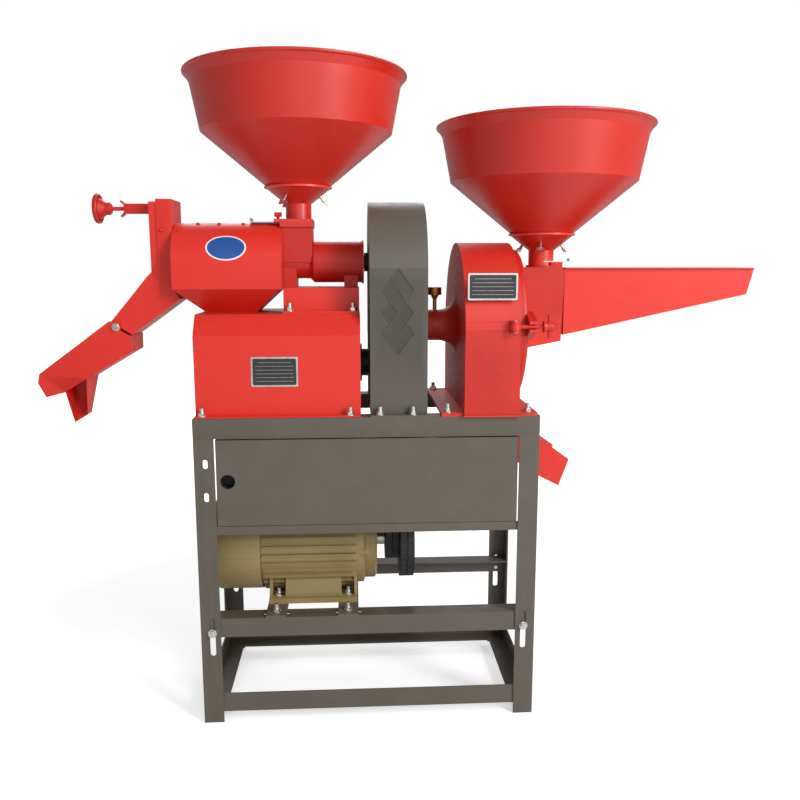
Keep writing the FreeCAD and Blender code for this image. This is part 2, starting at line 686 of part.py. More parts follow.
def feed_casting():
    """Feed chamber, bearing barrel and legs, cast in one."""
    body = Piece("mill_casting", z="mill_z")
    body.turned([[
        ("feed_left", "0"), ("barrel_right", "0"), ("barrel_right", "barrel_r"),
        ("feed_right + 2", "barrel_r"), ("feed_right - 6", "neck_r"), ("feed_left", "neck_r"),
    ]])
    body.pad("YZ", [arch("drum_r", "drum_low - mill_z", "0")], "feed_left", "feed_left + 5")
    body.pad("YZ", [circle("0", "0", "barrel_r + 2.5")], "barrel_right - 4", "barrel_right")
    body.pad("XY", [rect("feed_left", "-feed_half", "feed_right", "feed_half")],
             "0", "feed_top - mill_z")
    for left, low in (("feed_left", "feed_top - mill_z"), ("feed_left - 12", "feed_top - mill_z + 8.5")):
        body.pad("XY", [rect(left, "-feed_half - 5", "feed_right + 2", "feed_half + 5")],
                 low, "feed_top - mill_z + 11")
    under = "frame_h + blower_h + ped_h - mill_z"
    for low, high in (("feed_left", "feed_left + 29"), ("barrel_right - 39", "barrel_right - 12")):
        body.pad("XY", [rect(low, "-leg_half", high, "leg_half")], under, "0")
    body.cut("YZ", [circle("0", "0", "feed_bore")], "feed_left", "feed_left + 57")
    body.cut("YZ", [circle("0", "0", "shaft_r + 1.5")], "feed_left", "barrel_right")
    body.cut("YZ", [circle("0", "0", "bearing_r + fit")], "feed_right + 4", "barrel_right")
    body.cut("XY", [rect("rice_x - 22", "-22", "rice_x + 22", "22")],
             "0", "feed_top - mill_z + 11")
    body.cut("XY", [rect("feed_left - 12", "-23.4", "rice_x + 26", "23.4")],
             "feed_top - mill_z + 8.5", "feed_top - mill_z + 11")
    body.done("mill_casting")


def ball_bearings():
    """Two bearings for the mill shaft and two for the crusher shaft, each with its shield lines."""
    races = []
    for x, z in (("feed_right + 8", "mill_z"), ("barrel_right - bearing_w", "mill_z"),
                 ("housing_left + 3", "crusher_z"),
                 ("case_left + case_back - bearing_w", "crusher_z")):
        race = Piece("race", x, "0", z)
        side, mid = "bearing_w - 1", "bearing_r - 6"
        race.turned([[
            ("0", "shaft_r + fit"), ("bearing_w", "shaft_r + fit"), ("bearing_w", "shaft_r + 4"),
            (side, "shaft_r + 5"), (side, mid), ("bearing_w", mid + " + 1"),
            ("bearing_w", "bearing_r"), ("0", "bearing_r"), ("0", mid + " + 1"), ("1", mid),
            ("1", "shaft_r + 5"), ("0", "shaft_r + 4"),
        ]])
        races.append(race.body)
    group("ball_bearings", races)


def drum():
    """Bran drum: a sheet arch with two end plates, and the funnel under it."""
    cover = Piece("drum_cover", z="mill_z")
    low = "drum_low - mill_z"
    cover.pad("YZ", [arch("drum_r", low, "0")], "drum_left", "drum_right - 2")
    cover.cut("YZ", [arch("drum_r", low, "0", "sheet_t")],
              "drum_left + sheet_t", "drum_right - 2 - sheet_t")
    cover.cut("YZ", [circle("0", "0", "outlet_r")], "drum_left", "drum_left + sheet_t")
    cover.cut("YZ", [circle("0", "0", "screen_r + 0.5")],
              "drum_right - 2 - sheet_t", "drum_right - 2")
    cover.done("drum_cover")

    top, mouth = "drum_low", "frame_h + blower_h"
    funnel = Piece("bran_funnel")
    wide = rect("drum_left", "-drum_r", "drum_right - 2", "drum_r")
    narrow = rect("funnel_left", "-funnel_half", "funnel_right", "funnel_half")
    funnel.blend("AdditiveLoft", "XY", narrow, mouth, wide, top)
    wide_in = rect("drum_left + 2", "2 - drum_r", "drum_right - 4", "drum_r - 2")
    narrow_in = rect("funnel_left + 2", "2 - funnel_half", "funnel_right - 2", "funnel_half - 2")
    funnel.blend("SubtractiveLoft", "XY", narrow_in, mouth, wide_in, top)
    funnel.done("bran_funnel")

    screen = Piece("rice_screen", z="mill_z")
    start, end = "drum_left + sheet_t", "feed_left"
    screen.pad("YZ", [circle("0", "0", "screen_r"), circle("0", "0", "screen_r - 1.5")],
               start, end)
    middle = "((%s) + (%s)) / 2" % (start, end)
    gashes = [rect(middle + " + (%d)" % a, "-1.5", middle + " + (%d)" % b, "1.5")
              for a, b in ((-85, -33), (-26, 26), (33, 85))]
    slots = screen.cut("XY", gashes, "0", "screen_r + 1")
    screen.around([slots], 10)
    screen.done("rice_screen")


def milling_rotor():
    """Shaft, ribbed roller and feed screw that turn inside the screen."""
    right = "groove_first + 2.5 * groove_step"
    keep(cylinder("shaft_r", "(%s) + 355" % right, "-355", "0", "mill_z", ALONG_X), "mill_shaft")

    roller = Piece("milling_roller", "feed_left - 182", "0", "mill_z")
    roller.turned([[("0", "shaft_r + fit"), ("157", "shaft_r + fit"), ("157", "roller_r"),
                    ("12", "roller_r"), ("0", "roller_r - 10")]])
    flank = rect("14", "-3", "153", "3")
    rib = roller.pad("XY", [flank], "roller_r - 3", "roller_r + roller_rib")
    roller.around([rib], 4)
    roller.done("milling_roller")

    screw = Piece("feed_screw", "feed_left - 10", "0", "mill_z")
    screw.turned([[("0", "shaft_r + fit"), ("auger_len", "shaft_r + fit"),
                   ("auger_len", "auger_core"), ("0", "auger_core")]])
    thread = [("6", "auger_core - 1"), ("12", "auger_core - 1"), ("10.5", "auger_r"),
              ("7.5", "auger_r")]
    profile = screw.sketch("XZ", [thread])
    helix = screw.feature("AdditiveHelix", profile)
    helix.ReferenceAxis = (profile, ["H_Axis"])
    helix.Mode = "pitch-turns-angle"
    bind(helix, "Pitch", "auger_pitch")
    helix.Turns = 1.3
    screw.done("feed_screw")


def pulley(label, z, steps, first, hub_low, hub_high, bore):
    """V-belt pulley turned in one; each step is a radius and its number of grooves."""
    wheel = Piece(label, "0", "0", z)
    radii = [radius for radius, count in steps for _ in range(count)]
    middles = ["groove_first + %g * groove_step" % (first + i) for i in range(len(radii))]
    edges = [middle + " - groove_step / 2" for middle in middles]
    right, hub = middles[-1] + " + groove_step / 2", bore + " + 6"
    outline = [(hub_low, bore + " + fit"), (hub_high, bore + " + fit"), (hub_high, hub),
               (right, hub), (right, radii[-1])]
    for i in reversed(range(len(radii))):
        middle, radius = middles[i], radii[i]
        outline += [(middle + " + groove_top / 2", radius),
                    (middle + " + groove_foot / 2", radius + " - groove_deep"),
                    (middle + " - groove_foot / 2", radius + " - groove_deep"),
                    (middle + " - groove_top / 2", radius), (edges[i], radius)]
        if i and radii[i - 1] != radius:
            outline.append((edges[i], radii[i - 1]))
    outline += [(edges[0], hub), (hub_low, hub)]
    wheel.turned([outline])
    wheel.done(label)


def belt(z_low, r_low, z_high, r_high, place_in_row):
    """V-belt: its section swept round two pulleys by tangent runs and arcs."""
    middle = "groove_first + %g * groove_step" % place_in_row
    loop = Piece("belt", middle)
    inner_low, inner_high = "(%s - belt_h)" % r_low, "(%s - belt_h)" % r_high
    path = loop.body.newObject("Sketcher::SketchObject", "belt_path")
    path.AttachmentSupport = [(loop.plane("YZ"), "")]
    path.MapMode = "FlatFace"
    reach = mm(z_high) - mm(z_low)
    low, high = mm(inner_low), mm(inner_high)
    lean = math.asin((low - high) / reach)
    ends = {}
    for name, z, radius in (("low", mm(z_low), low), ("high", mm(z_high), high)):
        for side in (1, -1):
            ends[name, side] = Vector(side * radius * math.cos(lean),
                                      z + radius * math.sin(lean), 0)
    up = Vector(0, 0, 1)
    path.addGeometry(Part.LineSegment(ends["low", 1], ends["high", 1]), False)
    path.addGeometry(Part.ArcOfCircle(Part.Circle(Vector(0, mm(z_high), 0), up, high),
                                      lean, math.pi - lean), False)
    path.addGeometry(Part.LineSegment(ends["high", -1], ends["low", -1]), False)
    path.addGeometry(Part.ArcOfCircle(Part.Circle(Vector(0, mm(z_low), 0), up, low),
                                      math.pi - lean, 2 * math.pi + lean), False)
    for first, second in ((0, 1), (1, 2), (2, 3), (3, 0)):
        path.addConstraint(Sketcher.Constraint("Tangent", first, 2, second, 1))
    for index, z, radius in ((1, z_high, inner_high), (3, z_low, inner_low)):
        limit(path, Sketcher.Constraint("DistanceX", -1, 1, index, 3, 0), "0")
        limit(path, Sketcher.Constraint("DistanceY", -1, 1, index, 3, mm(z)), z)
        limit(path, Sketcher.Constraint("Radius", index, mm(radius)), radius)
    foot = "((%s) - belt_h)" % r_high
    high_point = "(%s) + %s" % (z_high, foot)
    section = [("-belt_foot / 2", high_point), ("belt_foot / 2", high_point),
               ("belt_top / 2", high_point + " + belt_h"), ("-belt_top / 2", high_point + " + belt_h")]
    profile = loop.sketch("XZ", [section])
    sweep = loop.feature("AdditivePipe", profile)
    sweep.Spine = (path, [])
    return loop.body


def belt_drive():
    """Belts: two from the motor to the mill, two to the crusher, one from the mill to the fan."""
    pulley("fan_pulley", "fan_z", [("fan_pulley_r", 1)], 0, "groove_first - 10",
           "groove_first + 7.5", "fan_shaft_r")
    pulley("mill_pulley", "mill_z", [("mill_pulley_r", 3)], 0, "barrel_right + 1",
           "groove_first + 2.5 * groove_step + 0.5", "shaft_r")
    pulley("crusher_pulley", "crusher_z", [("crusher_pulley_r", 2)], 3,
           "groove_first + 2.5 * groove_step - 0.5", "groove_first + 4.5 * groove_step + 6", "shaft_r")
    pulley("motor_pulley", "motor_z", [("motor_pulley_r", 2), ("motor_step_r", 2)], 1,
           "groove_first + groove_step / 2 - 1", "groove_first + 4.5 * groove_step + 2",
           "motor_shaft_r")
    mill = ("mill_z", "mill_pulley_r + gap")
    belts = [belt("fan_z", "fan_pulley_r + gap", *mill, 0)]
    belts += [belt("motor_z", "motor_pulley_r + gap", *mill, i) for i in (1, 2)]
    belts += [belt("motor_z", "motor_step_r + gap", "crusher_z", "crusher_pulley_r + gap", i)
              for i in (3, 4)]
    group("drive_belts", belts)


def guard():
    """Arched sheet cover over the belts, open below, slotted to lower over the shafts."""
    cover = Piece("belt_guard")
    cover.pad("YZ", [arch("guard_r", "frame_h", "guard_z")], "guard_left", "guard_right")
    rim = "guard_r + 20"
    cover.pad("XY", [rect("guard_left", "-(%s)" % rim, "guard_right", rim)],
              "frame_h", "frame_h + base_t")
    cover.cut("YZ", [arch("guard_r", "frame_h", "guard_z", "sheet_t")],
              "guard_left + sheet_t", "guard_right - sheet_t")
    for axis_z, half, low, high in (("mill_z", "30", "guard_left", "guard_left + sheet_t"),
                                    ("crusher_z", "38", "guard_right - sheet_t", "guard_right")):
        cover.cut("YZ", [arch(half, "frame_h", axis_z)], low, high)
    middle = "(guard_left + guard_right) / 2"
    for centre in ("842", "801", "763"):
        wide, tall = "29", "41"
        bead = []
        for grow in ("1.6", "-1.6"):
            w, t = "(%s + %s)" % (wide, grow), "(%s + %s)" % (tall, grow)
            bead.append([(middle + " - " + w, centre), (middle, centre + " - " + t),
                         (middle + " + " + w, centre), (middle, centre + " + " + t)])
        cover.pad("XZ", bead, "-guard_r - 1.2", "-guard_r + 1")
    holes = []
    for x in ("guard_left + 18", "guard_right - 28"):
        for y in ("-(guard_r + 10)", "guard_r + 10"):
            holes.append(circle(x, y, "bolt_r + bolt_gap"))
    cover.cut("XY", holes, "frame_h", "frame_h + base_t")
    cover.done("belt_guard")


# ---------------------------------------------------------------- rice outlet

def outlet_head():
    """Upright box on the drum's end, with the fixed upper chute below it."""
    half, inside = "head_half", "head_half - sheet_t"
    head = Piece("outlet_head")
    shape = [("head_left", "head_top"), ("head_left", "876"), ("head_left - 21", "868"),
             ("chute_pin_x - 9", "781"), ("chute_pin_x + 29", "755"), ("head_right + 9", "823"),
             ("head_right + 3", "833"), ("head_right", "838"), ("head_right", "head_top")]
    head.pad("XZ", [shape], "-" + half, half)
    hollow = [("head_left - 4", "1004"), ("head_left - 4", "879"), ("head_left + 1", "876.3"),
              ("head_left + 1", "874"), ("head_left - 19.5", "866.7"),
              ("chute_pin_x - 14", "772"), ("chute_pin_x + 19.7", "750.8"),
              ("head_right + 5.5", "822.9"), ("head_right + 0.7", "832"),
              ("head_right - sheet_t", "837"), ("head_right - sheet_t", "head_top - sheet_t"),
              ("head_left + sheet_t", "head_top - sheet_t"), ("head_left + sheet_t", "1004")]
    head.cut("XZ", [hollow], "-(%s)" % inside, inside)
    cheek = [("head_left", "890.5"), ("cover_left + 0.5", "874.9"), ("head_left - 21", "868"),
             ("head_left", "876")]
    head.pad("XZ", [cheek], "-" + half, "-(%s)" % inside)
    head.pad("XZ", [cheek], inside, half)
    head.cut("YZ", [circle("0", "mill_z", "outlet_r")], "head_right - sheet_t", "head_right + 1")
    head.done("outlet_head")

    cover = Piece("outlet_cover")
    outline = [("cover_left", "cover_top"), ("cover_left", "875"), ("head_left", "891"),
               ("head_left", "cover_top")]
    cover.pad("XZ", [outline], "-(%s)" % inside, inside)
    hollow = [("cover_left + sheet_t", "cover_top - sheet_t"), ("cover_left + sheet_t", "870"),
              ("head_left", "880"), ("head_left", "cover_top - sheet_t")]
    cover.cut("XZ", [hollow], "-(head_half - 2 * sheet_t)", "head_half - 2 * sheet_t")
    high, low = "press_z + bracket_h / 2", "press_z - bracket_h / 2"
    arm = "bracket_half"
    cover.pad("XZ", [rect("bracket_left", low, "cover_left + sheet_t", high)], "-" + arm, arm)
    for side, edge in (("+", high), ("-", low)):
        ear = [("bracket_left + 1", edge)]
        ear += [("bracket_left - %g" % out, "%s %s %g" % (edge, side, up))
                for out, up in ((6.5, 7), (9, 4.5))]
        ear.append(("bracket_left + 1", "%s %s (-5)" % (edge, side)))
        cover.pad("XZ", [ear], "-5", "5")
    cover.cut("XZ", [rect("bracket_left + 4", low + " + 2", "cover_left", high + " - 2")],
              "-(bracket_half - 2)", "bracket_half")
    cover.cut("YZ", [circle("0", "press_z", "spindle_r + 0.1")], "bracket_left - 1", "bracket_left + 5")
    cover.cut("YZ", [circle("0", "press_z", "7")], "cover_left - 2", "cover_left + sheet_t")
    cover.done("outlet_cover")


def pressure_regulator():
    """Handwheel, spindle, spring and the hinged flap that holds the rice back."""
    wheel = Piece("pressure_handwheel", "wheel_x", "0", "press_z")
    hub = "wheel_hub_right - wheel_x"
    wheel.turned([[
        ("-7", "0"), (hub, "0"), (hub, "wheel_hub_r - 3"), (hub + " - 3", "wheel_hub_r"),
        ("16", "wheel_hub_r"), ("6", "wheel_hub_r + 8"), ("-1", "wheel_r - 7"),
        ("1", "wheel_r - 5.5"), ("5", "wheel_r - 4"), ("5", "wheel_r - 1"), ("1", "wheel_r", "6"),
        ("-3", "wheel_r - 2", "6"), ("-7", "wheel_hub_r"),
    ]])
    wheel.done("pressure_handwheel")
    keep(cylinder("spindle_r", "62", "wheel_hub_right", "0", "press_z", ALONG_X), "pressure_spindle")

    seat = Piece("spring_seat", "wheel_hub_right + 62.2", "0", "press_z")
    seat.turned([[("0", "0"), ("3", "0"), ("3", "5"), ("2", "7"), ("0", "7")]])
    seat.done("spring_seat")

    flap = Piece("pressure_flap")
    plate = rect("flap_x", "flap_z", "flap_x + sheet_t", "press_z + 8")
    flap.pad("XZ", [plate], "-(head_half - 6)", "head_half - 6")
    flap.pad("XZ", [circle("flap_x", "flap_z", "4.2")], "-(head_half - 6)", "head_half - 6")
    flap.pad("YZ", [circle("0", "press_z", "3")], "flap_x - 8", "flap_x")
    flap.pad("YZ", [circle("0", "mill_z", "outlet_r - 4")], "flap_x + sheet_t", "flap_x + 7")
    flap.cut("XZ", [circle("flap_x", "flap_z", "2.05")], "-head_half", "head_half")
    flap.done("pressure_flap")
    spring = Piece("pressure_spring", "wheel_hub_right + 65.4", "0", "press_z")
    wire = spring.sketch("XZ", [circle("0.8", "5.2", "0.7")])
    coil = spring.feature("AdditiveHelix", wire)
    coil.ReferenceAxis = (wire, ["H_Axis"])
    coil.Mode = "pitch-height-angle"
    coil.Pitch = 5.4
    bind(coil, "Height", "flap_x - (wheel_hub_right + 65.4) - 1.8")
    spring.done("pressure_spring")


def lower_chute():
    """Open trough that swings on one bolt, with the spout for broken rice under it."""
    half, inside = "trough_half", "trough_half - sheet_t"
    trough = Piece("lower_chute", "chute_pin_x", "0", "chute_pin_z")
    side = [("-13", "11"), ("-151", "-90"), ("-154.5", "-108"), ("-140.5", "-136"),
            ("-106", "-127"), ("26", "-49"), ("26", "-17"), ("8", "-7"), ("8", "11")]
    trough.pad("XZ", [side], "-" + half, half)
    hollow = [("-20", "30"), ("-152", "-85"), ("-165", "-110"), ("-139", "-134"),
              ("-106", "-124.8"), ("24", "-47.7"), ("24", "-10"), ("12", "30")]
    trough.cut("XZ", [hollow], "-(%s)" % inside, inside)
    trough.cut("XY", [rect("-100", "-(%s)" % inside, "-64", "20")], "-140", "-70")
    trough.cut("XZ", [circle("0", "0", "bolt_r + fit")], "-" + half, half)

    spout = Piece("spout", "chute_pin_x", "0", "chute_pin_z")
    outline = [("-104", "-124.5"), ("-89", "-186"), ("-62", "-169.5"), ("-60", "-98.6")]
    spout.pad("XZ", [outline], "-" + half, half)
    behind = [("26", "-97"), ("-29", "-170"), ("-29", "-200"), ("60", "-200"), ("60", "-97")]
    spout.cut("YZ", [behind], "-112", "-56")
    spout.blend("SubtractiveLoft", "XY", rect("-85.8", "-60", "-64.4", "-46"), "-190",
                rect("-108.3", "-60", "-62.4", "23.2"), "-97")
    keep(fuse([trough.body, spout.body]), "lower_chute")


# ---------------------------------------------------------------- hoppers and gates

def hopper(label, x, rim):
    """Spun hopper: near-upright wall, 45 degree cone and a rolled edge."""
    bowl = Piece(label, x, "0", rim)
    wall = [("cone_r", "-cone_drop"), ("wall_low_r", "-fold_drop"), ("wall_top_r", "-20"),
            ("rim_r", "-6"), ("rim_r", "-4"), ("wall_top_r - 2", "-18"),
            ("wall_low_r - 1.8", "-fold_drop + 0.7"), ("cone_r - 2.2", "-cone_drop")]
    bowl.turned([wall], axis="V_Axis")
    bowl.turned([[circle("rim_r", "-roll_r", "roll_r")][0]], axis="V_Axis")
    bowl.done(label)


def funnel(label, x, rim, drop, base):
    """Ring and cone welded to a throat pipe; base says how far the foot plate reaches."""
    cone = Piece("cone", x, "0", rim)
    cone.turned([[
        ("ring_r", "-cone_drop"), ("ring_r", "-cone_drop - 3.5"), ("cone_r - 1", "-cone_drop - 4.5"),
        ("throat_r", "-funnel_drop"), ("throat_r - 2", "-funnel_drop"),
        ("throat_r - 2", "-funnel_drop + 1"), ("cone_r - 4", "-cone_drop - 2"),
        ("cone_r - 4", "-cone_drop"),
    ]], axis="V_Axis")
    pipe = Piece("throat", x, "0", rim)
    foot = "-(%s)" % drop
    pipe.turned([[("throat_r", "-funnel_drop"), ("throat_r", foot), ("throat_r - 2", foot),
                  ("throat_r - 2", "-funnel_drop")]], axis="V_Axis")
    if base:
        left, right, half = base
        pipe.pad("XY", [rect(left, "-(%s)" % half, right, half),
                        circle("0", "0", "throat_r - 2")], foot, foot + " + 4")
        pipe.cut("XY", [circle(left + " + 5.5", "0", "3.02")], foot, foot + " + 4")
    else:
        low = foot + " + 10"
        pipe.cut("XY", [rect("0", "-throat_r - 1", "throat_r + 1", "throat_r + 1")],
                 low, low + " + 2.4")
    group(label, [cone.body, pipe.body])


def wing_screws(label, x, rim, first):
    """Three wing screws that clamp a hopper in its funnel, square to the cone."""
    fall = mm("funnel_drop - cone_drop - 4.5")
    slope = math.degrees(math.atan2(fall, mm("cone_r - 1 - throat_r")))
    screws = []
    for i in range(3):
        spin = about((0, 0, 1), first + 120 * i)
        out = spin.multiply(about((0, 1, 0), 180 - slope))
        away = out.multVec(Vector(0, 0, 1))
        foot = spin.multVec(Vector(mm("(cone_r - 1 + throat_r) / 2"), 0, -fall / 2)) + away * 0.05
        level = "%s - cone_drop - 4.5" % rim
        shank = cylinder("3", "14", "%s + (%g)" % (x, foot.x), "%g" % foot.y,
                         "%s + (%g)" % (level, foot.z), out)
        wing = doc.addObject("Part::Box", "wing")
        for prop, size in (("Length", "2.4"), ("Width", "16"), ("Height", "9")):
            bind(wing, prop, size)
        corner = foot + away * 12 + out.multVec(Vector(-1.2, -8, 0))
        place(wing, "%s + (%g)" % (x, corner.x), "%g" % corner.y,
              "%s + (%g)" % (level, corner.z), out)
        screws.append(fuse([shank, wing]))
    group(label, screws)


def gates():
    """Slide gates under both hoppers and the screws that hold them."""
    low = "feed_top + 8.8"
    plate = Piece("rice_gate", z=low)
    tail = "rice_x - 94"
    plate.pad("XY", [rect(tail, "-23", "rice_x + 25", "23")], "0", "2")
    plate.pad("YZ", [rect("-23", "0", "23", "9")], tail, tail + " + 2")
    plate.done("rice_gate")
    keep(thumbscrew("feed_left - 6.5", "feed_top + 11.2"), "rice_gate_screw")

    level = "inlet_top + 12.2"
    shutter = Piece("grain_gate", z=level)
    edge = "throat_r - 2.4"
    shutter.pad("XY", [circle("grain_x", "0", edge)], "-2", "0")
    shutter.pad("XY", [rect("grain_x", "-(%s)" % edge, "grain_x + 58", edge)], "-2", "0")
    shutter.pad("YZ", [rect("-11", "0", "11", "5")], "grain_x + 56", "grain_x + 58")
    shutter.done("grain_gate")


def thumbscrew(x, z):
    """Square-headed thumbscrew standing on its tip."""
    return fuse([
        cylinder("3", "14", x, "0", z),
        box(x + " - 7", x + " + 7", "-7", "7", z + " + 10", z + " + 18"),
    ])


# ---------------------------------------------------------------- crusher

def crusher_case():
    """Cast casing: an arch on a foot plate, bored from the right, open at the bottom."""
    case = Piece("crusher_casing")
    half = "case_r"
    case.pad("YZ", [arch(half, "frame_h", "crusher_z")], "case_left", "case_right")
    case.pad("XY", [rect("foot_left", "-foot_half", "foot_right", "foot_half")],
             "frame_h", "frame_h + foot_t")
    case.pad("XY", [rect("case_left - 2", "-(case_r + 3)", "case_right + 2", "case_r + 3")],
             "frame_h", "frame_h + 3")
    ear_y = "hinge_y"
    for low, high in (("crusher_z + 20.4", "crusher_z + 36"), ("crusher_z - 36", "crusher_z - 20.4")):
        case.pad("XY", [rect("hinge_x - hinge_r", "case_r - 3", "hinge_x + hinge_r", ear_y)],
                 low, high)
        case.pad("XY", [circle("hinge_x", ear_y, "hinge_r")], low, high)
    for low, high in (("clamp_z + 5.4", "clamp_z + 11"), ("clamp_z - 11", "clamp_z - 5.4")):
        case.pad("XY", [rect("clamp_x - 8", "clamp_y", "clamp_x + 8", "-case_r + 2")], low, high)
        case.pad("XY", [circle("clamp_x", "clamp_y", "8")], low, high)
    case.cut("YZ", [circle("0", "crusher_z", "case_bore")], "case_left + case_back", "case_right")
    case.cut("YZ", [circle("0", "crusher_z", "housing_r + fit")], "case_left", "case_right")
    case.cut("XY", [rect("case_left + 20", "-105", "case_right - 12", "105")],
             "frame_h", "crusher_z - 60")
    case.cut("XY", [circle("hinge_x", ear_y, "pin_r + fit")], "crusher_z - 40", "crusher_z + 40")
    case.cut("XY", [circle("clamp_x", "clamp_y", "pin_r + fit")], "clamp_z - 16", "clamp_z + 16")
    holes = []
    for x in ("foot_left + 13", "foot_right - 16"):
        for y in ("-(foot_half - 16)", "foot_half - 16"):
            holes.append(circle(x, y, "bolt_r + bolt_gap"))
    case.cut("XY", holes, "frame_h", "frame_h + foot_t")
    case.done("crusher_casing")

    housing = Piece("crusher_bearing_housing", z="crusher_z")
    left, right = "housing_left", "case_left"
    housing.turned([[
        (left, "bearing_r + fit"), (right + " + case_back", "bearing_r + fit"),
        (right + " + case_back", "housing_r"), (right, "housing_r"),
        (right, "housing_r + flare_r"),
        (right + " - flare_r", "housing_r", "-flare_r"),
        (left + " + 8", "housing_r"), (left + " + 8", "housing_r + 2.5"),
        (left, "housing_r + 2.5"),
    ]])
    housing.cut("XY", [circle("housing_left + 26", "0", "3.92")], "0", "housing_r + 4")
    housing.done("crusher_bearing_housing")

    cup = Piece("grease_cup", "housing_left + 26", "0", "crusher_z + housing_r - 3")
    cup.turned([[("0", "0"), ("3.9", "0"), ("3.9", "24"), ("8", "32"), ("13.5", "33"),
                 ("13.5", "48"), ("0", "48")]], axis="V_Axis")
    cup.done("grease_cup")

    sieve = Piece("ring_sieve", z="crusher_z")
    start, end = "case_left + case_back", "case_right - 0.6"
    sieve.pad("YZ", [circle("0", "0", "sieve_r"), circle("0", "0", "sieve_r - 1.5")], start, end)
    middle = "((%s) + (%s)) / 2" % (start, end)
    gashes = [rect(middle + " + (%d)" % a, "-2", middle + " + (%d)" % b, "2")
              for a, b in ((-38, -4), (4, 38))]
    slots = sieve.cut("XY", gashes, "0", "sieve_r + 1")
    sieve.around([slots], 20)
    sieve.done("ring_sieve")


def claws(piece, plane_low, plane_high, ring, count):
    """Ring of square claws round the shaft's axis."""
    half = "claw / 2"
    claw_outline = rect("-" + half, "%s - %s" % (ring, half), half, "%s + %s" % (ring, half))
    first = piece.pad("YZ", [claw_outline], plane_low, plane_high)
    piece.around([first], count)


def crusher_rotor():
    """Shaft and disc with three rings of claws."""
    left = "groove_first + 2.5 * groove_step + 2"
    keep(cylinder("shaft_r", "case_left + 38 - (%s)" % left, left, "0", "crusher_z", ALONG_X),
         "crusher_shaft")
    rotor = Piece("crusher_rotor", z="crusher_z")
    back = "case_left + 20"
    rotor.turned([[(back, "shaft_r + fit"), (back + " + 18", "shaft_r + fit"), (back + " + 18", "30"),
                   (back + " + 8", "34"), (back + " + 8", "rotor_r"), (back, "rotor_r")]])
    for ring, count in (("rotor_claw_a", 6), ("rotor_claw_b", 8), ("rotor_claw_c", 10)):
        claws(rotor, back + " + 7", "claw_tip_rotor", ring, count)
    rotor.done("crusher_rotor")


def crusher_door():
    """Round door on a hinge, with two rings of fixed claws and the clamp lug."""
    door = Piece("crusher_door", z="crusher_z")
    near, far = "case_right + gap", "case_right + gap + door_t"
    door.turned([[
        (near, "door_bore"), (far, "door_bore"), (far, "door_r - 9"),
        (far + " - 9", "door_r", "9"), (near, "door_r"),
    ]])
    arm = "hinge_y - hinge_r"
    door.pad("YZ", [rect("door_r - 8", "-20", "hinge_y + hinge_r", "20")], near, far)
    door.pad("YZ", [rect(arm, "-20", "hinge_y + hinge_r", "20")], "hinge_x", near + " + 1")
    door.pad("XY", [circle("hinge_x", "hinge_y", "hinge_r")], "-20", "20")
    reach = "clamp_y - 8"
    lug = [("-door_r + 16", "clamp_z - crusher_z - 26"), (reach, "clamp_z - crusher_z - 10"),
           (reach, "clamp_z - crusher_z + 10"), ("-door_r + 16", "clamp_z - crusher_z + 26")]
    door.pad("YZ", [lug], far + " - 6", far + " + 8")
    door.cut("XY", [circle("hinge_x", "hinge_y", "pin_r + 0.06")], "-20", "20")
    door.cut("YZ", [rect(reach, "clamp_z - crusher_z - 4.8", "clamp_y + 5",
                         "clamp_z - crusher_z + 4.8")], far + " - 6", far + " + 8")
    claws(door, "claw_tip_door", near + " + 1", "door_claw_a", 6)
    claws(door, "claw_tip_door", near + " + 1", "door_claw_b", 8)
    door.done("crusher_door")
    eye = Piece("swing_bolt", "clamp_x", "clamp_y", "clamp_z")
    eye.pad("XY", [circle("0", "0", "9.5")], "-5", "5")
    eye.pad("YZ", [circle("0", "0", "4")], "5", "78")
    eye.cut("XY", [circle("0", "0", "pin_r + 0.06")], "-5", "5")
    eye.done("swing_bolt")
    nut = Piece("clamp_nut", "clamp_x", "clamp_y", "clamp_z")
    nut.turned([[("52", "4.06"), ("70", "4.06"), ("70", "9"), ("58", "9"), ("52", "11")]])
    nut.pad("YZ", [rect("-4", "-21", "4", "21")], "61", "69")
    nut.cut("YZ", [circle("0", "0", "4.06")], "52", "70")
    nut.done("clamp_nut")


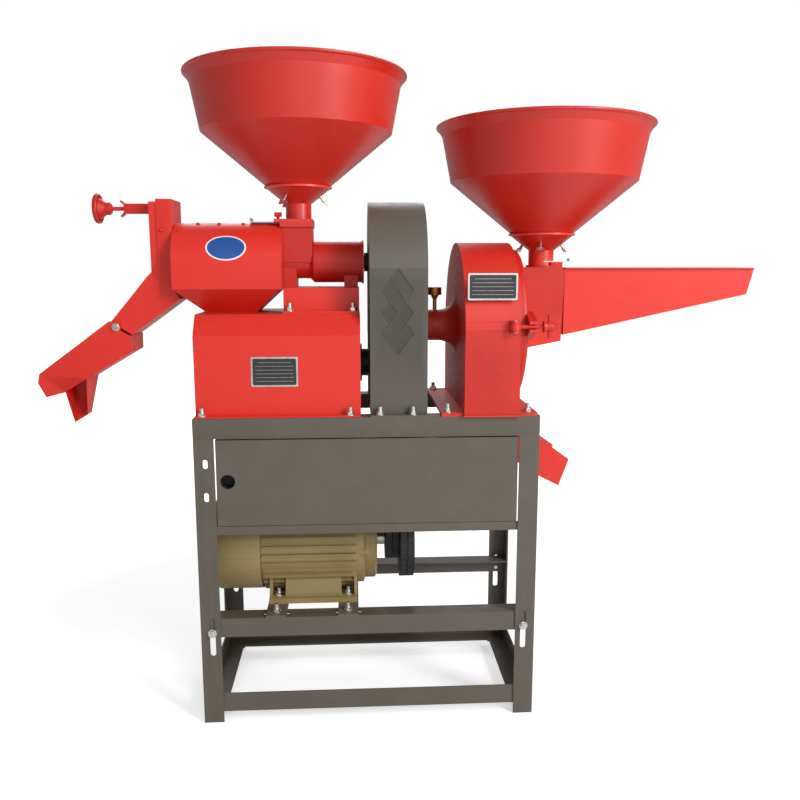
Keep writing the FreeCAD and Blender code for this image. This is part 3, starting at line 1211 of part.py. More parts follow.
def feed_side():
    """Inlet box on the door and the long tray beside it."""
    left = "case_right + gap + door_t"
    chest = Piece("crusher_inlet_box")
    outline = [(left, "724"), ("inlet_right - 4", "740"), ("inlet_right", "inlet_top"),
               (left, "inlet_top")]
    chest.pad("XZ", [outline], "-inlet_half", "inlet_half")
    inner = [(left, "727"), ("inlet_right - 6.4", "742.6"), ("inlet_right - 2.4", "inlet_top - 2"),
             (left, "inlet_top - 2")]
    chest.cut("XZ", [inner], "2 - inlet_half", "inlet_half - 2")
    chest.cut("XY", [circle("grain_x", "0", "throat_r - 2")], "inlet_top - 2", "inlet_top")
    chest.cut("YZ", [rect("-44", "752", "44", "850")], "inlet_right - 9", "inlet_right + 1")
    guide_x, guide_z = "inlet_right - 19", "inlet_top"
    chest.pad("XY", [rect(guide_x, "-26", "inlet_right + 4", "26")], guide_z, guide_z + " + 10.1")
    chest.pad("XY", [circle("grain_x", "0", "throat_r + 5"), circle("grain_x", "0", "throat_r + fit")],
              guide_z, guide_z + " + 4")
    chest.cut("XY", [circle("grain_x", "0", "throat_r + fit")], guide_z, guide_z + " + 11")
    chest.done("crusher_inlet_box")

    tray = Piece("feed_tray")
    top, start = "inlet_top - 1", "inlet_right"
    outline = [(start, "752"), ("tray_right - 13", "831"), ("tray_right", top), (start, top)]
    tray.pad("XZ", [outline], "-inlet_half", "inlet_half")
    hollow = [(start, "754"), ("tray_right - 14.5", "832.8"), ("tray_right - 2", top), (start, top)]
    tray.cut("XZ", [hollow], "2 - inlet_half", "inlet_half - 2")
    for y in ("-inlet_half - 6", "inlet_half"):
        tray.pad("XY", [rect(start, y, "tray_right - 4", y + " + 6")], top + " - 2", top)
    tray.done("feed_tray")


def discharge():
    """Meal chute from the casing's foot down through the frame's right side."""
    chute = Piece("meal_chute")
    half = "66"
    shape = [("case_left + 22", "frame_h"), ("case_left + 22", "562"), ("345", "467"),
             ("388", "445"), ("408", "500"), ("300", "578"), ("case_right - 14", "frame_h")]
    chute.pad("XZ", [shape], "-" + half, half)
    hollow = [("case_left + 24", "frame_h"), ("case_left + 24", "563"), ("346", "469.3"),
              ("389", "442"), ("409", "501"), ("299", "576"), ("case_right - 16", "frame_h")]
    chute.cut("XZ", [hollow], "2 - " + half, half + " - 2")
    chute.pad("XY", [rect("case_left + 6", "-119", "case_right - 2", "119"),
                     rect("case_left + 24", "-64", "case_right - 16", "64")],
              "frame_h - 3", "frame_h")
    chute.done("meal_chute")


# ---------------------------------------------------------------- motor

def motor():
    """Foot-mounted motor on two crossbars: finned frame, shields, cowl, fan and rotor."""
    stator = Piece("motor_frame", z="motor_z")
    left, right = "motor_body_left", "motor_body_right"
    stator.turned([[(left, "motor_r - 12"), (right, "motor_r - 12"), (right, "motor_r + 4"),
                    (left, "motor_r + 4")]])
    fin = stator.pad("XY", [rect(left + " + 4", "-fin_t / 2", right + " - 4", "fin_t / 2")],
                     "motor_r", "fin_r")
    stator.around([fin], "fin_count")
    under = "rail_motor + bar_t - motor_z"
    for y in ("-foot_a / 2 - 20", "foot_a / 2 - 22"):
        stator.pad("XY", [rect("foot_mid - 88", y, "foot_mid + 88", y + " + 42")],
                   under, under + " + 11")
    for sign in ("-", ""):
        outline = [(sign + "40", "-74"), (sign + "44", under + " + 5"),
                   (sign + "(foot_a / 2 + 10)", under + " + 5"),
                   (sign + "(foot_a / 2 + 10)", under + " + 16"), (sign + "76", "-50")]
        for low, high in (("-88", "-82"), ("-56", "56"), ("82", "88")):
            stator.pad("YZ", [outline], "foot_mid + (%s)" % low, "foot_mid + (%s)" % high)
    holes = [circle("foot_mid + (%s)" % x, y, "bolt_r + bolt_gap")
             for x in ("-foot_b / 2", "foot_b / 2") for y in ("-foot_a / 2", "foot_a / 2")]
    stator.cut("XY", holes, under, under + " + 20")
    stator.done("motor_frame")

    nose, bore = "motor_shield_r", "motor_shaft_r + 0.1"
    drive_end = Piece("shield", z="motor_z")
    drive_end.turned([[
        (right, bore), ("motor_shield_right", bore), ("motor_shield_right", nose + " - 6"),
        ("motor_shield_right - 4", nose), (right + " + 15", nose),
        (right + " + 12", "motor_r + 2"), (right, "motor_r + 2"),
    ]])
    lug = drive_end.pad("YZ", [circle("0", "-" + nose, "9")], right, right + " + 15")
    drive_end.around([lug], 4)
    fan_end = Piece("shield", z="motor_z")
    back = left + " - 16"
    fan_end.turned([[
        (left, bore), (back, bore), (back, "34"), (back + " + 8", "40"),
        (left + " - 8", "motor_r - 2"), (left, "motor_r + 2"),
    ]])
    shields = [drive_end.body, fan_end.body]
    group("motor_end_shields", shields)

    cowl = Piece("motor_fan_cowl", z="motor_z")
    end = "motor_cowl_left"
    cowl.turned([[
        (left, "cowl_r"), (end + " + 14", "cowl_r"), (end, "cowl_r - 14", "14"), (end, "18"),
        (end + " + 2", "18"), (end + " + 2", "cowl_r - 14"), (end + " + 14", "cowl_r - 2", "-12"),
        (left, "cowl_r - 2"),
    ]])
    vent = cowl.cut("YZ", [rect("-4", "28", "4", "74")], end, end + " + 2")
    cowl.around([vent], 12)
    cowl.done("motor_fan_cowl")

    keep(fuse([
        cylinder("motor_shaft_r", "groove_first + 4.5 * groove_step - (%s - 60)" % left,
                 left + " - 60", "0", "motor_z", ALONG_X),
        cylinder("52", "150", left + " + 22", "0", "motor_z", ALONG_X),
    ]), "motor_rotor")
    hub = cylinder("24", "26", left + " - 56", "0", "motor_z", ALONG_X)
    blades = []
    for i in range(7):
        turn = about((1, 0, 0), 360 * i / 7)
        step = turn.multVec(Vector(0, 0, 20))
        blade = doc.addObject("Part::Box", "blade")
        for prop, size in (("Length", "26"), ("Width", "3"), ("Height", "58")):
            bind(blade, prop, size)
        place(blade, left + " - 56", "%g" % step.y, "motor_z + (%g)" % step.z, turn)
        blades.append(blade)
    bore = cylinder("motor_shaft_r + fit", "40", left + " - 60", "0", "motor_z", ALONG_X)
    keep(cut(fuse([hub] + blades), bore), "motor_fan")

    chest = Piece("terminal_box", z="motor_z + fin_r + gap")
    chest.pad("XY", [rect("foot_mid - 70", "-38", "foot_mid + 60", "38")], "0", "44")
    chest.done("terminal_box")


# ---------------------------------------------------------------- fasteners

def fasteners():
    """Bolts through the foot flanges, the motor feet and the chute."""
    bolts = [bolt(x, "%s(%s)" % (side, y), z, z + " - frame_h + angle_t")
             for x, y, z in base_seats() for side in ("", "-")]
    middle = "(ped_left + ped_right) / 2"
    bolts += [
        bolt("%s + %s * ped_bolt" % (middle, s), "%s * (ped_half + 14)" % side,
             "frame_h + blower_h + ped_t", "5") for s in ("-1", "1") for side in ("-1", "1")]
    bolts += [
        bolt("foot_mid + (%s)" % x, y, "rail_motor + bar_t + 11", "15")
        for x in ("-foot_b / 2", "foot_b / 2") for y in ("-foot_a / 2", "foot_a / 2")]
    bolts += [
        bolt("foot_mid + (%s)" % x, "%s(%s)" % (side, CLAMP_ROW), "rail_motor + bar_t", "bar_t + 3")
        for x in ("-foot_b / 2", "foot_b / 2") for side in ("", "-")]
    for side, turn in (("-", FACING_FRONT), ("", ALONG_Y)):
        for x in ("-(frame_w / 2 - leg_slot_x)", "frame_w / 2 - leg_slot_x"):
            bolts.append(bolt(x, side + "frame_d / 2", "rail_bolt_z", "6", turn, "2"))
    group("mounting_bolts", bolts)


def pivot_pins():
    """The pins that the flap, the lower chute, the crusher door and the swing bolt turn on."""
    flap_pin = cylinder("2", "2 * (head_half - sheet_t)", "flap_x", "-(head_half - sheet_t)",
                        "flap_z", ALONG_Y)
    door_pin = cylinder("pin_r", "76", "hinge_x", "hinge_y", "crusher_z - 38")
    clamp_pin = cylinder("pin_r", "24", "clamp_x", "clamp_y", "clamp_z - 12")
    reach = "trough_half + gap"
    chute_pin = fuse([
        cylinder("bolt_r", "2 * (%s)" % reach, "chute_pin_x", "-(%s)" % reach, "chute_pin_z",
                 ALONG_Y),
        cylinder("7.5", "1.4", "chute_pin_x", "-(%s)" % reach, "chute_pin_z", FACING_FRONT),
        hexagon("11", "6", "chute_pin_x", "-(%s)" % reach, "chute_pin_z", FACING_FRONT),
        hexagon("11", "6", "chute_pin_x", reach, "chute_pin_z", ALONG_Y),
    ])
    group("pivot_pins", [flap_pin, door_pin, clamp_pin, chute_pin])


def build():
    """Make every sub-part."""
    frame()
    blower()
    pedestal()
    feed_casting()
    ball_bearings()
    drum()
    milling_rotor()
    outlet_head()
    pressure_regulator()
    lower_chute()
    hopper("rice_hopper", "rice_x", "rice_rim")
    funnel("rice_funnel", "rice_x", "rice_rim", "rice_rim - feed_top - 11",
           ("-46", "29", "feed_half + 5"))
    wing_screws("rice_hopper_screws", "rice_x", "rice_rim", 0)
    hopper("grain_hopper", "grain_x", "grain_rim")
    funnel("grain_funnel", "grain_x", "grain_rim", "grain_rim - inlet_top", None)
    wing_screws("grain_hopper_screws", "grain_x", "grain_rim", 15)
    gates()
    crusher_case()
    crusher_rotor()
    crusher_door()
    feed_side()
    discharge()
    motor()
    belt_drive()
    guard()
    fasteners()
    pivot_pins()
    doc.recompute()


def faults():
    """Objects that failed to compute, and sub-parts without a valid solid."""
    found = []
    for thing in doc.Objects:
        if "Invalid" in thing.State or "Error" in thing.State:
            found.append("%s (%s)" % (thing.Label, thing.Name))
    for label, thing in PIECES.items():
        shape = thing.Shape
        if shape.isNull() or not shape.isValid() or not shape.Solids:
            found.append(label)
    return found


def write():
    """One STEP file for each sub-part."""
    os.makedirs("parts", exist_ok=True)
    for label, thing in PIECES.items():
        thing.Shape.exportStep("parts/%s.step" % label)
        print(label, len(thing.Shape.Solids), round(thing.Shape.Volume / 1000, 1))


build()
problems = faults()
if problems:
    raise SystemExit("failed: " + ", ".join(problems))
write()
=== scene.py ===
"""Looks of the rice huller: paint, metals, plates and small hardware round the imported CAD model."""

import math

import bmesh
import bpy
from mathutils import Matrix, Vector


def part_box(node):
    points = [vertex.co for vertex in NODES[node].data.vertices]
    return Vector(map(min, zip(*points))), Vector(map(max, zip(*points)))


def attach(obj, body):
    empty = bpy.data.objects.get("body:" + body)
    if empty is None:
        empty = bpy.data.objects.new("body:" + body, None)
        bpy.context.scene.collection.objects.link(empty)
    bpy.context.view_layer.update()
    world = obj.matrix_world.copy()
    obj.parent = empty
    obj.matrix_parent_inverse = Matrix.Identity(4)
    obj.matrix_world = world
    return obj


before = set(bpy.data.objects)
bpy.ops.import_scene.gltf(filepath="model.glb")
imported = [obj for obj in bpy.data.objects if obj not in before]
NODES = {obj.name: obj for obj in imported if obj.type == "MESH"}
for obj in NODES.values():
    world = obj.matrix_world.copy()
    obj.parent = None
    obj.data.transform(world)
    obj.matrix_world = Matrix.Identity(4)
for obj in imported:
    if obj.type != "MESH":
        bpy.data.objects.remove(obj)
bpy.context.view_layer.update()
SCENE = bpy.context.scene
MM = 0.001

# stations along the machine are in millimetres from the frame's middle, heights in metres
BLOWER_PLATE = {"x": -173.5, "z": 0.692, "half": (43.5 * MM, 28.0 * MM), "lines": 6}
CRUSHER_PLATE = {"x": 229.0, "z": 0.8495, "half": (46.0 * MM, 24.5 * MM), "lines": 5}
CASING_FRONT = -164 * MM               # flat of the casing that its plate lies on
OVAL_PLATE = {"x": -265.0, "z": 0.921, "half": (38.0 * MM, 25.0 * MM)}
SEAM_SCREWS = (-324.0, -284.0, -237.0)
SEAM_TURN = 15.0                       # degrees forward of the drum's top
HEAD_SCREW = {"x": -390.0, "z": 0.9536}
SWITCH = {"x": -264.0, "z": 0.487, "outer": 14.6 * MM, "inner": 13.0 * MM, "depth": 24.0 * MM}
BLOWER_FLANGE = 20 * MM                # the foot flange, in front of the blower's face
WORLD_LIGHT = 0.34                     # strength of the world for all but camera rays
SHADE_NEAR, SHADE_FAR = 0.95, 2.3      # the floor's own glow grows between these, in metres
GLOW_NEAR, GLOW_FAR = 0.50, 1.05
FLOOR_RADIUS = 9.0
CAMERA_PLACE = (-0.0923, -1.6374, 0.8917)
CAMERA_TURN = (80.383, 0.0, -3.358)    # degrees
CAMERA_LENS = 36.32


# ---------------------------------------------------------------- materials

class Shader:
    """One node material on object coordinates, in metres."""

    def __init__(self, name, colour, roughness, metallic=0.0, coat=0.0, coat_roughness=0.1):
        self.material = bpy.data.materials.new(name)
        self.material.use_nodes = True
        self.tree = self.material.node_tree
        self.bsdf = self.tree.nodes["Principled BSDF"]
        self.colour = (*colour, 1.0)
        self.bsdf.inputs["Base Color"].default_value = self.colour
        self.bsdf.inputs["Roughness"].default_value = roughness
        self.bsdf.inputs["Metallic"].default_value = metallic
        self.bsdf.inputs["Coat Weight"].default_value = coat
        self.bsdf.inputs["Coat Roughness"].default_value = coat_roughness
        self.place = self.add("ShaderNodeTexCoord").outputs["Object"]

    def add(self, kind, **properties):
        """A node with its properties set."""
        node = self.tree.nodes.new(kind)
        for key, value in properties.items():
            setattr(node, key, value)
        return node

    def link(self, output, target):
        self.tree.links.new(output, target)

    def noise(self, scale, detail=3.0, stretch=None):
        """Noise value on the object's own coordinates."""
        node = self.add("ShaderNodeTexNoise")
        node.inputs["Scale"].default_value = scale
        node.inputs["Detail"].default_value = detail
        source = self.place
        if stretch:
            mapping = self.add("ShaderNodeMapping")
            mapping.inputs["Scale"].default_value = stretch
            self.link(self.place, mapping.inputs["Vector"])
            source = mapping.outputs["Vector"]
        self.link(source, node.inputs["Vector"])
        return node.outputs["Fac"]

    def span(self, value, low, high, to_low, to_high):
        """Map Range, clamped."""
        node = self.add("ShaderNodeMapRange")
        for key, number in (("From Min", low), ("From Max", high), ("To Min", to_low),
                            ("To Max", to_high)):
            node.inputs[key].default_value = number
        self.link(value, node.inputs["Value"])
        return node.outputs["Result"]

    def tint(self, value, colour):
        """Blend the base colour towards another one where value is high."""
        node = self.add("ShaderNodeMix", data_type="RGBA")
        self.link(value, node.inputs["Factor"])
        socket = self.bsdf.inputs["Base Color"]
        if socket.is_linked:
            self.link(socket.links[0].from_socket, node.inputs["A"])
        else:
            node.inputs["A"].default_value = self.colour
        node.inputs["B"].default_value = (*colour, 1.0)
        self.link(node.outputs["Result"], socket)

    def rough(self, value):
        self.link(value, self.bsdf.inputs["Roughness"])

    def bump(self, value, distance, strength=1.0):
        """Relief; distance in metres."""
        node = self.add("ShaderNodeBump")
        node.inputs["Distance"].default_value = distance
        node.inputs["Strength"].default_value = strength
        self.link(value, node.inputs["Height"])
        socket = self.bsdf.inputs["Normal"]
        if socket.is_linked:
            self.link(socket.links[0].from_socket, node.inputs["Normal"])
        self.link(node.outputs["Normal"], socket)

    def edges(self, low, high):
        """Pointiness mask: high on outer edges of the mesh, or in creases when low is above high; it
        places painted highlights and painted shade.
        """
        node = self.add("ShaderNodeNewGeometry")
        return self.span(node.outputs["Pointiness"], low, high, 0.0, 1.0)


def paint(name, colour, roughness, dust=0.0, peel=0.00004, coat=0.1, specular=0.4):
    """Sprayed paint: faint tone changes, painted highlight on outer edges, painted shade in creases,
    orange peel, a little dust on it.
    """
    s = Shader(name, colour, roughness, coat=coat, coat_roughness=roughness * 0.7)
    s.bsdf.inputs["Specular IOR Level"].default_value = specular
    s.tint(s.span(s.noise(9.0), 0.35, 0.75, 0.0, 0.5), [c * 0.84 for c in colour])
    s.tint(s.span(s.noise(60.0, 6.0), 0.62, 0.85, 0.0, 0.3), [c * 0.8 for c in colour])
    # painted highlight: outer edges lightened where they would catch the light
    s.tint(s.edges(0.53, 0.60), [min(1.0, c * 1.25 + 0.01) for c in colour])
    # painted shade: creases and hollows darkened where shade would fall
    s.tint(s.edges(0.46, 0.40), [c * 0.7 for c in colour])
    if dust:
        s.tint(s.span(s.noise(22.0, 8.0), 0.45, 0.8, 0.0, dust), [0.42, 0.38, 0.33])
    s.rough(s.span(s.noise(35.0, 5.0), 0.3, 0.75, roughness * 0.85, roughness * 1.2))
    s.bump(s.noise(420.0, 2.0), peel)
    return s.material


def metal(name, colour, roughness, brush=None, grime=0.15):
    """Bare or plated metal with fine brush lines and grime."""
    s = Shader(name, colour, roughness, metallic=1.0)
    s.tint(s.span(s.noise(70.0, 6.0), 0.45, 0.8, 0.0, grime * 2), [c * 0.45 for c in colour])
    s.rough(s.span(s.noise(90.0, 5.0), 0.3, 0.7, roughness * 0.8, roughness * 1.35))
    s.bump(s.noise(900.0, 3.0, brush), 0.00002)
    return s.material


def cast(name, colour, roughness, metallic=0.0, coat=0.1, grain=0.00022):
    """Painted or bare sand casting: rough skin under it."""
    s = Shader(name, colour, roughness, metallic=metallic, coat=coat, coat_roughness=roughness)
    s.bsdf.inputs["Specular IOR Level"].default_value = 0.4
    # painted highlight: outer edges lightened where they would catch the light
    s.tint(s.edges(0.53, 0.60), [min(1.0, c * 1.25 + 0.01) for c in colour])
    s.tint(s.span(s.noise(12.0), 0.35, 0.75, 0.0, 0.5), [c * 0.84 for c in colour])
    s.rough(s.span(s.noise(80.0, 5.0), 0.3, 0.75, roughness * 0.8, roughness * 1.25))
    s.bump(s.noise(180.0, 5.0), grain)
    s.bump(s.noise(28.0, 3.0), 0.0004)
    return s.material


def rubber(name, colour):
    """Belt rubber with worn flanks."""
    s = Shader(name, colour, 0.62)
    s.tint(s.span(s.noise(140.0, 6.0), 0.45, 0.75, 0.0, 0.6), [0.07, 0.068, 0.062])
    s.bump(s.noise(700.0, 3.0), 0.00008)
    return s.material


RED = (0.56, 0.015, 0.006)
GREY = (0.078, 0.066, 0.051)
KHAKI = (0.270, 0.192, 0.075)
LOOK = {
    "red_sheet": paint("red_sheet_paint", RED, 0.42),
    "red_hopper": paint("red_hopper_paint", (0.60, 0.022, 0.010), 0.40, peel=0.00003, coat=0.45),
    "red_cast": cast("red_casting_paint", (0.54, 0.017, 0.008), 0.46, coat=0.12),
    "grey": paint("grey_frame_paint", GREY, 0.46, dust=0.04, coat=0.05),
    "guard": paint("grey_guard_paint", (0.082, 0.073, 0.058), 0.42, coat=0.1),
    "khaki": paint("khaki_motor_paint", KHAKI, 0.42, dust=0.04, coat=0.15),
    "khaki_cast": cast("khaki_casting_paint", KHAKI, 0.44, coat=0.12, grain=0.00012),
    "zinc": metal("zinc_plate", (0.74, 0.73, 0.69), 0.32),
    "steel": metal("bright_steel", (0.56, 0.56, 0.55), 0.30, (1.0, 12.0, 12.0)),
    "iron": cast("machined_iron", (0.30, 0.29, 0.28), 0.42, metallic=0.9, coat=0.0, grain=0.00008),
    "dark_iron": cast("dark_iron", (0.020, 0.019, 0.019), 0.5, metallic=0.3, coat=0.0),
    "belt": rubber("belt_rubber", (0.014, 0.0135, 0.013)),
    "black": paint("black_moulding", (0.018, 0.018, 0.018), 0.5, coat=0.0),
    "brass": metal("orange_brass", (0.50, 0.20, 0.06), 0.42, grime=0.3),
    "plate_black": paint("plate_black", (0.02, 0.02, 0.021), 0.35, peel=0.00001),
    "plate_silver": metal("plate_silver", (0.78, 0.78, 0.78), 0.28, (20.0, 1.0, 1.0), grime=0.04),
    "plate_blue": paint("plate_blue", (0.018, 0.085, 0.33), 0.35, peel=0.00001),
    "plate_white": paint("plate_white", (0.74, 0.74, 0.73), 0.4, peel=0.00001),
}
NODE_LOOK = {
    "red_hopper": ["rice_hopper", "grain_hopper", "rice_funnel", "grain_funnel"],
    "red_sheet": ["blower_box", "mill_pedestal", "drum_cover", "bran_funnel", "outlet_head",
                  "outlet_cover", "lower_chute", "crusher_inlet_box", "feed_tray", "meal_chute",
                  "rice_gate_screw"],
    "red_cast": ["mill_casting", "crusher_casing", "crusher_bearing_housing", "crusher_door",
                 "swing_bolt", "clamp_nut", "pressure_handwheel", "pressure_spindle"],
    "grey": ["frame_legs", "frame_rails", "motor_rails", "front_panel"],
    "guard": ["belt_guard"],
    "khaki": ["motor_fan_cowl", "terminal_box"],
    "khaki_cast": ["motor_frame", "motor_end_shields"],
    "zinc": ["mounting_bolts", "pivot_pins", "rice_hopper_screws", "grain_hopper_screws",
             "spring_seat", "rice_gate", "grain_gate", "pressure_flap"],
    "steel": ["crusher_shaft", "motor_rotor", "ball_bearings",
              "rice_screen", "ring_sieve", "fan_impeller", "pressure_spring"],
    "iron": ["milling_roller", "feed_screw", "crusher_rotor"],
    "dark_iron": ["fan_shaft", "mill_shaft", "fan_bearing", "fan_pulley", "mill_pulley",
                  "crusher_pulley", "motor_pulley"],
    "belt": ["drive_belts"],
    "black": ["motor_fan"],
    "brass": ["grease_cup"],
}
for look, names in NODE_LOOK.items():
    for name in names:
        mesh = NODES[name].data
        mesh.materials.clear()
        mesh.materials.append(LOOK[look])


# ---------------------------------------------------------------- mesh helpers

def piece(name, mesh_or_bm, look, body):
    """A visible object from a mesh or a bmesh, riding on a CAD body."""
    if isinstance(mesh_or_bm, bmesh.types.BMesh):
        mesh = bpy.data.meshes.new(name)
        mesh_or_bm.normal_update()
        mesh_or_bm.to_mesh(mesh)
        mesh_or_bm.free()
    else:
        mesh = mesh_or_bm
    thing = bpy.data.objects.new(name, mesh)
    SCENE.collection.objects.link(thing)
    for one in [look] if isinstance(look, str) else look:
        mesh.materials.append(LOOK[one])
    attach(thing, body)
    return thing


def smooth(thing, degrees=40.0):
    """Smooth shading, sharp where faces meet at more than an angle."""
    for face in thing.data.polygons:
        face.use_smooth = True
    thing.data.set_sharp_from_angle(angle=math.radians(degrees))


def rounded(half_w, half_h, radius, steps=6):
    """Outline of a rounded rectangle, counterclockwise."""
    points = []
    for cx, cy, start in ((1, 1, 0), (-1, 1, 90), (-1, -1, 180), (1, -1, 270)):
        for i in range(steps + 1):
            turn = math.radians(start + 90 * i / steps)
            points.append((cx * (half_w - radius) + radius * math.cos(turn),
                           cy * (half_h - radius) + radius * math.sin(turn)))
    return points


def slab(bm, outline, low, high, to_world, material=0, chamfer=0.0):
    """Closed plate between two heights of a flat outline; the top edge may be chamfered."""
    rings = [(1.0, low), (1.0, high - chamfer)]
    if chamfer:
        rings.append((None, high))
    loops = []
    for scale, level in rings:
        loop = []
        for x, y in outline:
            if scale is None:
                length = math.hypot(x, y)
                x, y = x * (1 - chamfer / length), y * (1 - chamfer / length)
            loop.append(bm.verts.new(to_world(x, y, level)))
        loops.append(loop)
    count = len(outline)
    faces = [bm.faces.new(list(reversed(loops[0]))), bm.faces.new(loops[-1])]
    for lower, upper in zip(loops, loops[1:]):
        for i in range(count):
            j = (i + 1) % count
            faces.append(bm.faces.new((lower[i], lower[j], upper[j], upper[i])))
    for face in faces:
        face.material_index = material


def dome(bm, radius, rise, to_world, material=0, steps=16, rings=4):
    """Round-headed rivet or screw on a surface."""
    last = None
    for ring in range(rings + 1):
        turn = math.pi / 2 * ring / rings
        r, z = radius * math.cos(turn), rise * math.sin(turn)
        if ring == rings:
            tip = bm.verts.new(to_world(0, 0, rise))
            for i in range(steps):
                face = bm.faces.new((last[i], last[(i + 1) % steps], tip))
                face.material_index = material
            return
        loop = [bm.verts.new(to_world(r * math.cos(2 * math.pi * i / steps),
                                      r * math.sin(2 * math.pi * i / steps), z))
                for i in range(steps)]
        if last:
            for i in range(steps):
                j = (i + 1) % steps
                face = bm.faces.new((last[i], last[j], loop[j], loop[i]))
                face.material_index = material
        else:
            bm.faces.new(list(reversed(loop))).material_index = material
        last = loop


def facing_front(centre):
    """Maps a flat drawing (right, up, out) onto an upright face that looks along -Y."""
    centre = Vector(centre)
    return lambda x, y, z: centre + Vector((x, -z, y))


def machine_x(mm):
    """Row X of a station counted from the frame's middle, in millimetres."""
    return FRAME_MIDDLE + mm * MM


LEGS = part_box("frame_legs")
FRAME_MIDDLE = (LEGS[0][0] + LEGS[1][0]) / 2


# ---------------------------------------------------------------- plates

def rating_plate(name, centre, half_w, half_h, body, rows):
    """Blank plate: silver rim, dark field, ruled lines and a rivet in each corner."""
    bm = bmesh.new()
    to_world = facing_front(centre)
    slab(bm, rounded(half_w, half_h, 2.0 * MM), -0.2 * MM, 0.8 * MM, to_world, 0, 0.2 * MM)
    inner_w, inner_h = half_w - 3.2 * MM, half_h - 3.2 * MM
    slab(bm, rounded(inner_w, inner_h, 2.6 * MM), 0.5 * MM, 1.0 * MM, to_world, 1)
    gap = 2 * inner_h / (rows + 1)
    for i in range(rows):
        level = -inner_h + gap * (i + 1)
        reach = inner_w - (9.0 if i == rows - 1 else 5.0) * MM
        line = [(-reach, level - 0.25 * MM), (reach, level - 0.25 * MM),
                (reach, level + 0.25 * MM), (-reach, level + 0.25 * MM)]
        slab(bm, line, 0.9 * MM, 1.1 * MM, to_world, 0)
    for x in (-half_w + 1.7 * MM, half_w - 1.7 * MM):
        for y in (-half_h + 1.7 * MM, half_h - 1.7 * MM):
            spot = facing_front(Vector(centre) + Vector((x, -0.8 * MM, y)))
            dome(bm, 1.2 * MM, 0.7 * MM, spot, 0)
    smooth(piece(name, bm, ["plate_silver", "plate_black"], body), 30.0)


def oval_plate(centre_x, centre_z, axis_z, radius, half_w, half_h):
    """Blank enamelled oval bent round the drum."""
    bm = bmesh.new()
    middle = math.asin((centre_z - axis_z) / radius)

    def to_drum(x, y, z):
        turn = middle + y / radius
        return Vector((centre_x + x, -(radius + z) * math.cos(turn),
                       axis_z + (radius + z) * math.sin(turn)))

    def disc(scale_w, scale_h, low, high, material):
        rings = 10
        count = 72
        grid = []
        for ring in range(1, rings + 1):
            part = ring / rings
            grid.append([(part * scale_w * math.cos(2 * math.pi * i / count),
                          part * scale_h * math.sin(2 * math.pi * i / count))
                         for i in range(count)])
        for level, up in ((high, True), (low, False)):
            loops = [[bm.verts.new(to_drum(x, y, level)) for x, y in ring] for ring in grid]
            hub = bm.verts.new(to_drum(0, 0, level))
            for i in range(count):
                j = (i + 1) % count
                corners = (hub, loops[0][i], loops[0][j])
                bm.faces.new(corners if up else corners[::-1]).material_index = material
                for inner, outer in zip(loops, loops[1:]):
                    corners = (inner[i], outer[i], outer[j], inner[j])
                    bm.faces.new(corners if up else corners[::-1]).material_index = material
            if up:
                rim_high = loops[-1]
            else:
                for i in range(count):
                    j = (i + 1) % count
                    corners = (loops[-1][i], loops[-1][j], rim_high[j], rim_high[i])
                    bm.faces.new(corners).material_index = material

    disc(half_w, half_h, 0.0, 0.7 * MM, 0)
    disc(half_w - 2.8 * MM, half_h - 2.8 * MM, 0.5 * MM, 0.9 * MM, 1)
    smooth(piece("drum_oval_plate", bm, ["plate_white", "plate_blue"], "machine"))


BLOWER_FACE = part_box("blower_box")[0][1] + BLOWER_FLANGE
for name, plate, face in (("blower_plate", BLOWER_PLATE, BLOWER_FACE),
                          ("crusher_plate", CRUSHER_PLATE, CASING_FRONT)):
    rating_plate(name, (machine_x(plate["x"]), face, plate["z"]), *plate["half"], "machine",
                 plate["lines"])
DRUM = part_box("drum_cover")
DRUM_R = (DRUM[1][1] - DRUM[0][1]) / 2
DRUM_AXIS = DRUM[1][2] - DRUM_R
oval_plate(machine_x(OVAL_PLATE["x"]), OVAL_PLATE["z"], DRUM_AXIS, DRUM_R, *OVAL_PLATE["half"])


# ---------------------------------------------------------------- small screws

def on_surface(centre, normal):
    """Map of a flat drawing (x, y, out) onto a surface with that outward normal."""
    centre, out = Vector(centre), Vector(normal).normalized()
    side = out.orthogonal().normalized()
    up = out.cross(side)
    return lambda x, y, z: centre + side * x + up * y + out * z


def screws(name, places, radius, look, body):
    """Round-headed screws on plain washers, sunk a little into the sheet they hold."""
    bm = bmesh.new()
    for centre, normal in places:
        to_world = on_surface(centre, normal)
        ring = [(radius * 1.35 * math.cos(2 * math.pi * i / 24),
                 radius * 1.35 * math.sin(2 * math.pi * i / 24)) for i in range(24)]
        slab(bm, ring, -0.6 * MM, 0.9 * MM, to_world, 0, 0.25 * MM)
        dome(bm, radius, radius * 0.7,
             on_surface(Vector(centre) + Vector(normal).normalized() * 0.8 * MM, normal), 0)
    smooth(piece(name, bm, look, body), 35.0)


def on_drum(mm, degrees):
    """Place and outward normal on the drum, degrees forward of its top."""
    turn = math.radians(degrees)
    normal = (0.0, -math.sin(turn), math.cos(turn))
    place = (machine_x(mm), normal[1] * DRUM_R, DRUM_AXIS + normal[2] * DRUM_R)
    return place, normal


screws("drum_seam_screws", [on_drum(mm, SEAM_TURN) for mm in SEAM_SCREWS],
       3.4 * MM, "red_sheet", "machine")
HEAD_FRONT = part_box("outlet_head")[0][1]
screws("outlet_head_screw",
       [((machine_x(HEAD_SCREW["x"]), HEAD_FRONT, HEAD_SCREW["z"]), (0.0, -1.0, 0.0))],
       3.2 * MM, "red_sheet", "machine")


# ---------------------------------------------------------------- switch hole

